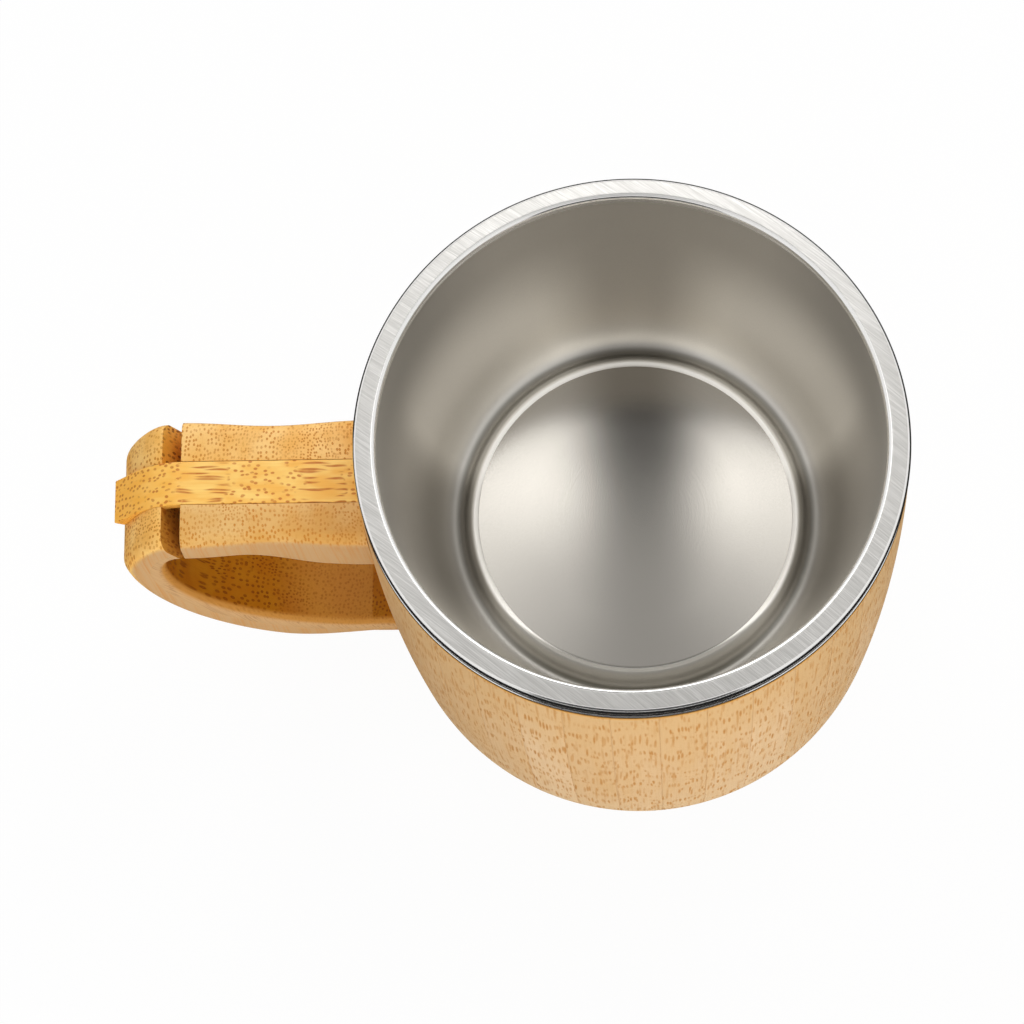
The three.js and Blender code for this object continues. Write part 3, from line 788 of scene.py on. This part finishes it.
def liner_face(p):
    """The liner's visible line, from the skirt's lower edge to the middle of the floor, and its finishes."""
    floor = MUG_HEIGHT - p.depth
    moat = floor - p.moat_depth
    bead_top = floor + p.floor_bead
    moat_radius = p.floor_radius + p.moat_width
    middle = p.floor_radius + p.moat_width / 2
    bead_foot = p.floor_radius - p.bead_run
    mouth = RIM_RADIUS - p.rim_width
    hem = p.sheet / 2
    hem_low = MUG_HEIGHT - p.skirt
    waist = RIM_RADIUS - p.tuck
    lean = 90 - math.degrees(p.crowning)
    rolled = arc((mouth + p.bead, MUG_HEIGHT - p.bead), p.bead, lean, 180, 16)
    edge = RIM_RADIUS - p.shoulder + p.shoulder * math.sin(p.crowning)
    brow = rolled[0][1] - math.tan(p.crowning) * (edge - rolled[0][0])
    shoulder = (RIM_RADIUS - p.shoulder, brow - p.shoulder * math.cos(p.crowning))
    parts = [
        (POLISHED, arc((RIM_RADIUS - hem, hem_low + hem), hem, -90, 60, 10)),
        (POLISHED, bezier([
            (waist, hem_low + 2.4 * hem), (waist, shoulder[1] - p.tuck_run),
            (RIM_RADIUS, shoulder[1] - p.tuck_run * 5 / 7), (RIM_RADIUS, shoulder[1]),
        ], 8)),
        (POLISHED, arc(shoulder, p.shoulder, 4, 60, 12)),
        (BRUSHED, arc(shoulder, p.shoulder, 60, lean, 8)[1:]),
        (BRUSHED, bezier([(edge, brow), rolled[0]], 6)[1:-1]),
        (BRUSHED, rolled[:3]),
        (POLISHED, rolled[3:]),
        (SATIN, bezier([
            (mouth, MUG_HEIGHT - p.bead), (mouth, MUG_HEIGHT - p.upright),
            (moat_radius + p.fullness, moat), (moat_radius, moat),
        ], 56)[1:]),
        (SATIN, bezier([
            (moat_radius, moat), (middle, moat), (middle, bead_top), (p.floor_radius, bead_top),
        ], 18)[1:]),
        (SATIN, bezier([
            (p.floor_radius, bead_top), (p.floor_radius - p.bead_run * 2 / 7, bead_top),
            (p.floor_radius - p.bead_run * 5 / 7, floor), (bead_foot, floor),
        ], 8)[1:]),
        (CROWNED, crowned_floor(p, bead_foot, floor, 30)),
    ]
    line, finishes = [], []
    for finish, points in parts:
        line += points
        finishes += [finish] * len(points)
    return line, finishes


def shell_outside(p, wall_steps, heel_steps):
    """The shell's turned outside, from the ledge under the rim's skirt to the foot."""
    ledge = MUG_HEIGHT - p.ledge
    heel_top = (RIM_RADIUS - p.heel_inset, p.heel_height)
    swell = (RIM_RADIUS + p.belly, (ledge + p.heel_height) / 2)
    to_ground = p.heel_height / (swell[1] - p.heel_height)
    corner = (heel_top[0] - (swell[0] - heel_top[0]) * to_ground, 0)
    wall = bezier([(RIM_RADIUS, ledge), swell, heel_top], wall_steps)
    heel = bend(heel_top, corner, (p.foot_radius, 0), p.heel_fullness, heel_steps)
    return wall + heel[1:]


def shell_radius(p, height):
    """Outside radius of the shell at a height."""
    line = shell_outside(p, 60, 40)[::-1]
    return float(np.interp(height, [z for _, z in line], [r for r, _ in line]))


def grain_start(p):
    """Where a stave's outside begins along its grain, which starts at the top of its tongue."""
    return p.ledge - p.top + p.ledge_width + p.ledge_edge


def one_stave(p):
    """A single stave on +X. Its grain holds the place across and along it, and how near the seam is."""
    tongue = RIM_RADIUS - p.ledge_width - p.ledge_edge
    ledge, top = MUG_HEIGHT - p.ledge, MUG_HEIGHT - p.top
    bore = RIM_RADIUS - p.bore
    taper_end = top - p.bore_length - p.bore_taper
    seat_radius, seat_top = p.base_radius + p.base_play, p.base_thickness + p.base_gap
    lip = p.base_radius - p.lip
    over = [(tongue, top), (tongue, ledge), (RIM_RADIUS - p.ledge_edge, ledge)]
    outside = shell_outside(p, 40, 26)
    inner = [
        (seat_radius, 0), (seat_radius, seat_top), (lip, seat_top), (lip, seat_top + p.lip_height),
        (RIM_RADIUS - p.heel_inset - p.wall, p.heel_height + p.lip_height),
        (RIM_RADIUS - p.wall, taper_end), (bore, top - p.bore_length), (bore, top),
    ]
    outline = [*over, *outside, *inner]
    faces_out = range(len(over), len(over) + len(outside))
    run = run_of(outline)
    half = math.pi / p.count - p.glue / 2 / RIM_RADIUS
    rings, grain = [], []
    for s in (-1, -0.985, -0.9, -0.6, -0.3, 0, 0.3, 0.6, 0.9, 0.985, 1):
        turn = s * half
        ring = []
        for i, (radius, height) in enumerate(outline):
            out = radius - p.seam_dip if abs(s) == 1 and i in faces_out else radius
            ring.append((out * math.cos(turn), out * math.sin(turn), height))
        rings.append(ring)
        grain.append([(turn * RIM_RADIUS, MUG_HEIGHT - far, abs(s)) for far in run])
    return loft("stave_shell", rings, grain=grain)


def stave_tree(material):
    """Node tree that sets one stave round the axis, each with its own tone."""
    tree = bpy.data.node_groups.new("Staves in a ring", "GeometryNodeTree")
    for name, kind in (("Stave", "Geometry"), ("Count", "Int"), ("Seed", "Int"), ("First turn", "Float")):
        tree.interface.new_socket(name, in_out="INPUT", socket_type="NodeSocket" + kind)
    tree.interface.new_socket("Ring", in_out="OUTPUT", socket_type="NodeSocketGeometry")

    def add(kind, settings=None, **values):
        return add_node(tree, kind, settings, values).outputs

    given = add("NodeGroupInput")
    places = add("GeometryNodeMeshLine", Count=given["Count"], Offset=(0, 0, 0))
    index = add("GeometryNodeInputIndex")
    part = maths_node(tree, "DIVIDE", index[0], given["Count"])
    turn = maths_node(tree, "MULTIPLY_ADD", part, 2 * math.pi, given["First turn"])
    turned_by = add("ShaderNodeCombineXYZ", Z=turn)[0]
    stave = given["Stave"]
    ring = add("GeometryNodeInstanceOnPoints", Points=places[0], Instance=stave, Rotation=turned_by)
    tone = add("FunctionNodeRandomValue", {"data_type": "FLOAT"}, Seed=given["Seed"])
    drawn = next(socket for socket in tone if socket.enabled)
    kept = {"data_type": "FLOAT", "domain": "INSTANCE"}
    ring = add("GeometryNodeStoreNamedAttribute", kept, Geometry=ring[0], Name="stave_tone", Value=drawn)
    ring = add("GeometryNodeRealizeInstances", Geometry=ring[0])
    ring = add("GeometryNodeSetMaterial", Geometry=ring[0], Material=material)
    add("NodeGroupOutput", Ring=ring[0])
    return tree


class OBJECT_OT_mug_liner(Operator):
    """Spin the steel liner with its rolled rim"""

    bl_idname = "object.mug_liner"
    bl_label = "Steel liner"

    def execute(self, context):
        p = context.scene.mug_liner
        face, finishes = liner_face(p)
        back = left_of(face[HEM_POINTS:], p.sheet)
        back[0] = (RIM_RADIUS - p.sheet, MUG_HEIGHT - p.skirt + p.sheet / 2)
        back[-1] = (0, back[-1][1])
        obj = turned("liner", face + back[::-1], steps=240, materials=finishes + [SATIN] * len(back))
        wall, floor = satin_steel(p, floor=False), satin_steel(p, floor=True)
        for material in (wall, brushed_steel(p), polished_steel(p), floor):
            obj.data.materials.append(material)
        seat(obj, ["steel_liner"])
        return {"FINISHED"}


class OBJECT_OT_mug_shell(Operator):
    """Set the bamboo staves in a ring"""

    bl_idname = "object.mug_shell"
    bl_label = "Stave shell"

    def execute(self, context):
        p = context.scene.mug_shell
        obj = one_stave(p)
        tree = stave_tree(stave_bamboo(p))
        modifier = obj.modifiers.new("Staves", "NODES")
        modifier.node_group = tree
        sockets = {s.name: s.identifier for s in tree.interface.items_tree if s.in_out == "INPUT"}
        modifier[sockets["Count"]] = p.count
        modifier[sockets["Seed"]] = p.seed
        modifier[sockets["First turn"]] = math.pi
        finish_mesh(obj)
        smooth(obj.data, limit=40)
        seat(obj, STAVES)
        return {"FINISHED"}


class OBJECT_OT_mug_base(Operator):
    """Turn the base disc that closes the shell"""

    bl_idname = "object.mug_base"
    bl_label = "Base disc"

    def execute(self, context):
        p = context.scene.mug_shell
        radius, top, edge = p.base_radius, p.base_thickness, p.base_edge
        outline = [(0, 0), (radius / 2, 0)]
        outline += arc((radius - edge, edge), edge, -90, 0, 6)
        outline += arc((radius - edge, top - edge), edge, 0, 90, 6)
        outline += [(radius / 2, top), (0, top)]
        obj = turned("base", outline, steps=160)
        obj.data.materials.append(board_bamboo(p))
        seat(obj, ["base_disc"])
        return {"FINISHED"}


# Handle

INSIDE = range(17, 34)  # segments of an arm's section that face the loop, with its inner edges


def at(reach, height):
    """A point of the handle's side view: reach from the rim's outer edge, and height."""
    return (-RIM_RADIUS - reach, height)


def strip_line(h, s, steps):
    """The strip's upper face in the side view, from inside the shell to the free end."""
    arm, tip = at(h.arm_length, ARM_TOP), at(s.reach, ARM_TOP - s.drop)
    lead = math.dist(arm, tip) / 3
    before = (tip[0] + lead * math.cos(s.slope), tip[1] + lead * math.sin(s.slope))
    curve = bezier([arm, at(h.arm_length + lead, ARM_TOP), before, tip], steps)
    return bezier([at(-s.tail, ARM_TOP), arm], 20)[:-1] + curve


def ring_between(outside, inside, section):
    """A section of (across, rise) set half way between two points of the side view."""
    up = Vector((outside[0] - inside[0], outside[1] - inside[1])).normalized()
    x, z = (outside[0] + inside[0]) / 2, (outside[1] + inside[1]) / 2
    return [(x + up.x * rise, across, z + up.y * rise) for across, rise in section]


def mirrored(first, right, last):
    """A closed section, from its right side and the two points on its middle line."""
    return [first, *right, last, *[(-across, rise) for across, rise in right[::-1]]]


def arm_section(width, thickness, outer_edge, inner_edge, groove, depth):
    """A section of an arm: the groove's floor first, then round the right side."""
    half, top = width / 2, thickness / 2
    right = [(groove * 0.5, top - depth), (groove, top - depth), (groove, top)]
    right += [(blend(groove, half - outer_edge, k), top) for k in (0.35, 0.7)]
    right += arc((half - outer_edge, top - outer_edge), outer_edge, 90, 0, 8)
    right += [(half, blend(top - outer_edge, inner_edge - top, k)) for k in (0.33, 0.67)]
    right += arc((half - inner_edge, inner_edge - top), inner_edge, 0, -90, 5)
    right += [(half * k, -top) for k in (0.6, 0.3)]
    return mirrored((0, top - depth), right, (0, -top))


def strip_section(s):
    """A section of the strip, from the middle of its upper face round the right side."""
    half, rise, edge = s.width / 2, s.thickness / 2, s.edge
    right = [(half * k, rise) for k in (0.25, 0.5, 0.75)]
    right += arc((half - edge, rise - edge), edge, 90, 0, 4)
    right += arc((half - edge, edge - rise), edge, 0, -90, 4)
    right += [(half * k, -rise) for k in (0.6, 0.3)]
    return mirrored((0, rise), right, (0, -rise))


def arm_rings(contours, width_at, edge_at, inner_edge, groove, floor_line):
    """Rings between the outer and inner contour of the side view. floor_line is the groove's floor."""
    rings = []
    for i, (outside, inside) in enumerate(zip(*contours)):
        thickness = math.dist(outside, inside)
        reach = -RIM_RADIUS - (outside[0] + inside[0]) / 2
        edge = min(edge_at(i, reach), thickness - 2 * inner_edge)
        depth = groove_depth(outside, inside, floor_line)
        shape = arm_section(width_at(reach), thickness, edge, inner_edge, groove, depth)
        rings.append(ring_between(outside, inside, shape))
    return rings


def groove_depth(outside, inside, floor_line):
    """How deep the groove's floor lies below the outer contour on the line to the inner one."""
    deepest, slack, parallel = 0.8, 1e-6, 1e-14
    start = Vector(outside)
    way = Vector(inside) - start
    for a, b in zip(floor_line, floor_line[1:]):
        first, edge = Vector(a), Vector(b) - Vector(a)
        cross = way.x * edge.y - way.y * edge.x
        if abs(cross) < parallel:
            continue
        gap = first - start
        t = (gap.x * edge.y - gap.y * edge.x) / cross
        u = (gap.x * way.y - gap.y * way.x) / cross
        if 0 <= t <= deepest and -slack <= u <= 1 + slack:
            return t * way.length
    return 0.0


def scribe(ring, shell, gap):
    """Moves the ring at the handle's root along X on to the shell's round wall."""
    return [(-math.sqrt((shell_radius(shell, z) + gap) ** 2 - y * y), y, z) for _, y, z in ring]


def upper_arm_contours(h, steps):
    """Upper and lower line of the upper arm, from the shell to the notch."""
    outer, inner = [], []
    for i in range(steps + 1):
        reach = blend(0, h.arm_length, i / steps)
        slim = ease(reach, h.flare_start, h.flare_end)
        outer.append(at(reach, ARM_TOP))
        inner.append(at(reach, ARM_TOP - blend(h.arm_root, h.arm_thickness, slim)))
    return outer, inner


def lower_arm_contours(h, nose_steps, sweep_steps, foot_steps):
    """Outer line of the lower arm and its line round the loop, from the notch to the shell."""
    outer = (
        at(h.arm_length + h.notch, ARM_TOP - h.nose_set), at(h.reach, ARM_TOP - h.nose_height),
        at(h.bend_reach, h.bottom), h.nose_fullness, h.sweep_fullness,
    )
    inner = (
        at(h.arm_length + h.notch_foot, ARM_TOP - h.arm_thickness),
        at(h.reach - h.thickness, ARM_TOP - h.loop_shoulder),
        at(h.loop_reach, h.bottom + h.root), h.loop_fullness, h.loop_fullness,
    )
    lines = []
    for start, tip, end, nose_fullness, sweep_fullness in (outer, inner):
        nose = bend(start, (tip[0], start[1]), tip, nose_fullness, nose_steps)
        sweep = bend(tip, (tip[0], end[1]), end, sweep_fullness, sweep_steps)
        foot = bezier([end, at(0, end[1])], foot_steps)
        lines.append(nose + sweep[1:] + foot[1:])
    return lines


class OBJECT_OT_mug_arms(Operator):
    """Shape the two arms of the handle, with the groove for the strip"""

    bl_idname = "object.mug_arms"
    bl_label = "Handle arms"

    def execute(self, context):
        h, s, shell = context.scene.mug_handle, context.scene.mug_strip, context.scene.mug_shell
        grooved = (h.loop_edge, s.width / 2 + h.gap, left_of(strip_line(h, s, 60), s.thickness + h.gap))
        nose_steps, sweep_steps, foot_steps = 40, 70, 14

        def waist(reach):
            along = min(max(reach / h.arm_length, 0), 1)
            return h.width - (h.width - h.waist) * math.sin(math.pi * along) ** 2

        def lower_edge(i, reach):
            rising = min(i / nose_steps, 1)
            fading = ease((i - nose_steps) / sweep_steps, 0, 0.5)
            body = blend(blend(h.edge, h.nose_edge, rising), h.loop_edge, fading)
            return max(body, blend(h.foot_edge, h.loop_edge, ease(reach, 0, h.foot_reach)))

        rings = arm_rings(upper_arm_contours(h, 60), waist, lambda i, reach: h.edge, *grooved)
        rings[0] = scribe(rings[0], shell, h.shell_gap)
        upper = loft("upper_arm_piece", rings[::-1])
        contours = lower_arm_contours(h, nose_steps, sweep_steps, foot_steps)
        rings = arm_rings(contours, lambda reach: h.width, lower_edge, *grooved)
        rings[-1] = scribe(rings[-1], shell, h.shell_gap)
        lower = loft("lower_arm_piece", rings, INSIDE, first_cap=2)
        for obj, node, finishes in (
            (upper, "upper_arm", [arm_bamboo("Upper arm bamboo", h.light, h.dark, h.side, near_side_shade=0.36)]),
            (lower, "lower_arm", self.lower_finishes(h)),
        ):
            for finish in finishes:
                obj.data.materials.append(finish)
            break_edges(obj, h.broken)
            seat(obj, [node])
        return {"FINISHED"}

    @staticmethod
    def lower_finishes(h):
        """The lower arm's outside, the inside of the loop in painted shade, and the face of the notch with
        painted shade on its near half.
        """
        loop_shade_dark, cut_dark = shade(h.dark, 0.3, 0.22, 0.1), shade(h.dark, 0.4, 0.3, 0.1)
        return [
            arm_bamboo("Lower arm bamboo", shade(h.light, 0.98, 0.94, 0.78), h.dark, h.side),
            arm_bamboo(
                "Loop bamboo in painted shade", h.loop, loop_shade_dark, h.side,
                turn=(0.7, 0.97), lean=0.35, gloss=0.12, rounded=h.brow,
            ),
            # the notch's face: a deeper amber, with painted shade on its near half
            arm_bamboo("Cut bamboo with painted shade", shade(h.light, 0.88, 0.74, 0.35), cut_dark, h.side, near_side_shade=0.9),
        ]


class OBJECT_OT_mug_strip(Operator):
    """Bend the strip that ties the two arms together"""

    bl_idname = "object.mug_strip"
    bl_label = "Handle strip"

    def execute(self, context):
        h, s, shell = context.scene.mug_handle, context.scene.mug_strip, context.scene.mug_shell
        other_face = 0.02  # sets the marks of the lower face apart from those of the upper one
        top = strip_line(h, s, 50)
        section = strip_section(s)
        rings = [ring_between(*pair, section) for pair in zip(top, left_of(top, s.thickness))]
        grain = [[(far, a + (other_face if r < 0 else 0), r) for a, r in section] for far in run_of(top)]
        start = next(i for i, (x, _) in enumerate(top) if x < -RIM_RADIUS)
        rings[start] = scribe(rings[start], shell, h.shell_gap)
        obj = loft("strip", rings[start:], grain=grain[start:])
        obj.data.materials.append(strip_bamboo(s))
        break_edges(obj, s.edge)
        seat(obj, ["handle_strip"])
        return {"FINISHED"}


class OBJECT_OT_mug_hidden(Operator):
    """Finish the seal and the pins that the other pieces cover"""

    bl_idname = "object.mug_hidden"
    bl_label = "Hidden pieces"

    def execute(self, context):
        h = context.scene.mug_handle
        rubber = soft_rubber()
        pin = arm_bamboo("Pin bamboo", h.light, h.dark, h.light)
        for name, material in (("rim_seal", rubber), ("upper_dowel", pin), ("lower_dowel", pin)):
            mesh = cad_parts[name].data
            mesh.materials.clear()
            mesh.materials.append(material)
        return {"FINISHED"}


# Stage


def disc(centre, radius):
    """Corners of a level disc."""
    turns = [math.radians(a) for a in range(0, 360, 10)]
    return [(centre[0] + radius * math.cos(a), centre[1] + radius * math.sin(a), centre[2]) for a in turns]


def sheet(centre, sides):
    """Corners of a level rectangle."""
    x, y = sides[0] / 2, sides[1] / 2
    corners = ((-1, -1), (1, -1), (1, 1), (-1, 1))
    return [(centre[0] + a * x, centre[1] + b * y, centre[2]) for a, b in corners]


def flat_piece(name, corners, material):
    """One flat face."""
    mesh = bpy.data.meshes.new(name)
    mesh.from_pydata(corners, [], [list(range(len(corners)))])
    mesh.materials.append(material)
    return piece(name, mesh)


def sky(sh, p):
    """Light and dark of the sky round the place that the middle of the cup's floor reflects."""
    x, y, _ = sh.split(sh.place())
    across, back = abs(x) / p.sky_spread, (y - p.sky_middle) / p.sky_spread
    plain = 0.88
    dark = p.flag + 0.37 * sh.step(back, 1.0, -1.2) + 0.35 * sh.step(back, -1.6, -3.2)
    light = plain + (p.glow - plain) * sh.step(back, -1.2, 0.4)
    beside = sh.step(across - 0.15 * sh.step(back, 0.0, 1.0), 0.22, 1.02)
    ahead = (x * x + (y + 0.62) ** 2.0) ** 0.5
    return (dark + (light - dark) * beside) * (0.62 + 0.38 * sh.step(ahead, 0.05, 0.55))


def card(name, corners, level, pattern=None):
    """A card that only reflections see, with one level all over or a pattern."""
    sh = Shader(name)
    values = {"Color": pattern(sh) if pattern else WHITE, "Strength": level}
    obj = flat_piece(name, corners, sh.output(sh.node("ShaderNodeEmission", values=values)))
    obj.visible_camera = obj.visible_diffuse = obj.visible_shadow = False


def lamp(name, place, target, size, power):
    """A lamp that reflections don't show."""
    data = bpy.data.lights.new(name, "AREA")
    data.shape = "RECTANGLE"
    data.size, data.size_y = size
    data.energy = power
    obj = piece(name, data)
    obj.visible_glossy = False
    obj.location = place
    obj.rotation_euler = (Vector(target) - Vector(place)).to_track_quat("-Z", "Y").to_euler()


def picture_camera(p):
    """Camera on the line that puts the middle of the rim at its place in the picture."""
    focal = p.lens / SENSOR
    lean, rise = math.sin(p.tilt), math.cos(p.tilt)
    out = Vector((lean * math.sin(p.turn), -lean * math.cos(p.turn), rise))
    right = Vector((math.cos(p.turn), math.sin(p.turn), 0))
    axes = Matrix((right, right.cross(out), -out))
    line = Vector(((p.across - 0.5) / focal, (p.down - 0.5) / focal, 1))
    swing = Vector((0, 0, 1)).rotation_difference(line).to_matrix()
    looking = swing @ Matrix.Rotation(p.roll, 3, "Z") @ axes
    data = bpy.data.cameras.new("Camera")
    data.lens = p.lens
    data.sensor_width = SENSOR
    data.clip_start, data.clip_end = 0.01, 50
    obj = piece("Camera", data)
    turn = Matrix((looking[0], -looking[1], -looking[2])).transposed()
    obj.matrix_world = Matrix.Translation(Vector((0, 0, MUG_HEIGHT)) + out * p.distance) @ turn.to_4x4()
    return obj


def seen_directly(tree):
    """One for camera, glossy and transmission rays, and nought for light that only bounces about."""
    rays = add_node(tree, "ShaderNodeLightPath").outputs
    total = rays["Is Camera Ray"]
    for name in ("Is Glossy Ray", "Is Transmission Ray"):
        total = maths_node(tree, "MAXIMUM", total, rays[name])
    return total


def white_world(p):
    """A world that looks white and lights with the ambient level."""
    world = bpy.data.worlds.new("Studio")
    world.use_nodes = True
    tree = world.node_tree
    tree.nodes.clear()
    level = add_node(tree, "ShaderNodeMapRange", values={"Value": seen_directly(tree), "To Min": p.ambient})
    back = add_node(tree, "ShaderNodeBackground", values={"Color": WHITE, "Strength": level.outputs[0]})
    add_node(tree, "ShaderNodeOutputWorld", values={"Surface": back.outputs[0]})
    return world


def pale_floor(p):
    """A floor that looks white and keeps a little of the shadow."""
    sh = Shader("Pale floor")
    plain = sh.node("ShaderNodeBsdfDiffuse", values={"Color": (0.9, 0.9, 0.9, 1)})
    glow = sh.node("ShaderNodeEmission", values={"Color": WHITE, "Strength": 1.0})
    seen = Field(sh, seen_directly(sh.tree)) * p.floor_glow
    both = sh.output(sh.node("ShaderNodeMixShader", values={0: seen, 1: plain, 2: glow}))
    obj = flat_piece("Floor", sheet((0, 0, -p.floor_drop), (12, 12)), both)


class OBJECT_OT_mug_stage(Operator):
    """Lay the floor and set the lamps and the camera"""

    bl_idname = "object.mug_stage"
    bl_label = "Stage"

    def execute(self, context):
        scene = context.scene
        p = scene.mug_studio
        scene.view_settings.view_transform = "Standard"
        scene.world = white_world(p)
        pale_floor(p)
        lamp("Front lamp", place=(0.22, -1.2, 0.24), target=(0, 0, 0.04), size=(3.4, 0.5), power=p.key)
        for name, x in (("Left lamp", -0.4), ("Right lamp", 0.4)):
            lamp(name, place=(x, 0.75, 1.0), target=(0, 0, 0.05), size=(0.5, 0.5), power=p.side)
        card("Sky card", sheet((0, -0.08, 1.2), (1.0, 2.24)), level=1.0, pattern=lambda sh: sky(sh, p))
        card("Back card", sheet((0, 1.52, 1.2), (1.6, 0.96)), level=3.0)
        upright = [(x, -1.2, z) for x, z in ((-0.65, 0.1), (0.65, 0.1), (0.65, 0.9), (-0.65, 0.9))]
        card("Front card", upright, level=0.08)
        card("Table flag", disc((0, 0, 0.0004), 0.9), level=0.02)
        scene.camera = picture_camera(p)
        return {"FINISHED"}


class VIEW3D_PT_mug(Panel):
    """Buttons and sizes of the mug"""

    bl_label = "Mug"
    bl_space_type = "VIEW_3D"
    bl_region_type = "UI"
    bl_category = "Mug"

    def draw(self, context):
        for operator in OPERATORS:
            self.layout.operator(operator.bl_idname)
        for name, group in GROUPS.items():
            box = self.layout.box()
            box.label(text=group.__doc__.split(".")[0])
            for key in group.__annotations__:
                box.prop(getattr(context.scene, name), key, text=key.replace("_", " ").capitalize())


GROUPS = {
    "mug_liner": LinerSettings,
    "mug_shell": ShellSettings,
    "mug_handle": HandleSettings,
    "mug_strip": StripSettings,
    "mug_studio": StudioSettings,
}
OPERATORS = (
    OBJECT_OT_mug_liner, OBJECT_OT_mug_shell, OBJECT_OT_mug_base, OBJECT_OT_mug_arms, OBJECT_OT_mug_strip,
    OBJECT_OT_mug_hidden, OBJECT_OT_mug_stage,
)


def register():
    for cls in (*GROUPS.values(), *OPERATORS, VIEW3D_PT_mug):
        bpy.utils.register_class(cls)
    for name, group in GROUPS.items():
        setattr(bpy.types.Scene, name, PointerProperty(type=group))


def unregister():
    for name in GROUPS:
        delattr(bpy.types.Scene, name)
    for cls in (VIEW3D_PT_mug, *OPERATORS[::-1], *list(GROUPS.values())[::-1]):
        bpy.utils.unregister_class(cls)


def main():
    register()
    bpy.ops.object.mug_liner()
    bpy.ops.object.mug_shell()
    bpy.ops.object.mug_base()
    bpy.ops.object.mug_arms()
    bpy.ops.object.mug_strip()
    bpy.ops.object.mug_hidden()
    bpy.ops.object.mug_stage()


if __name__ == "__main__":
    main()
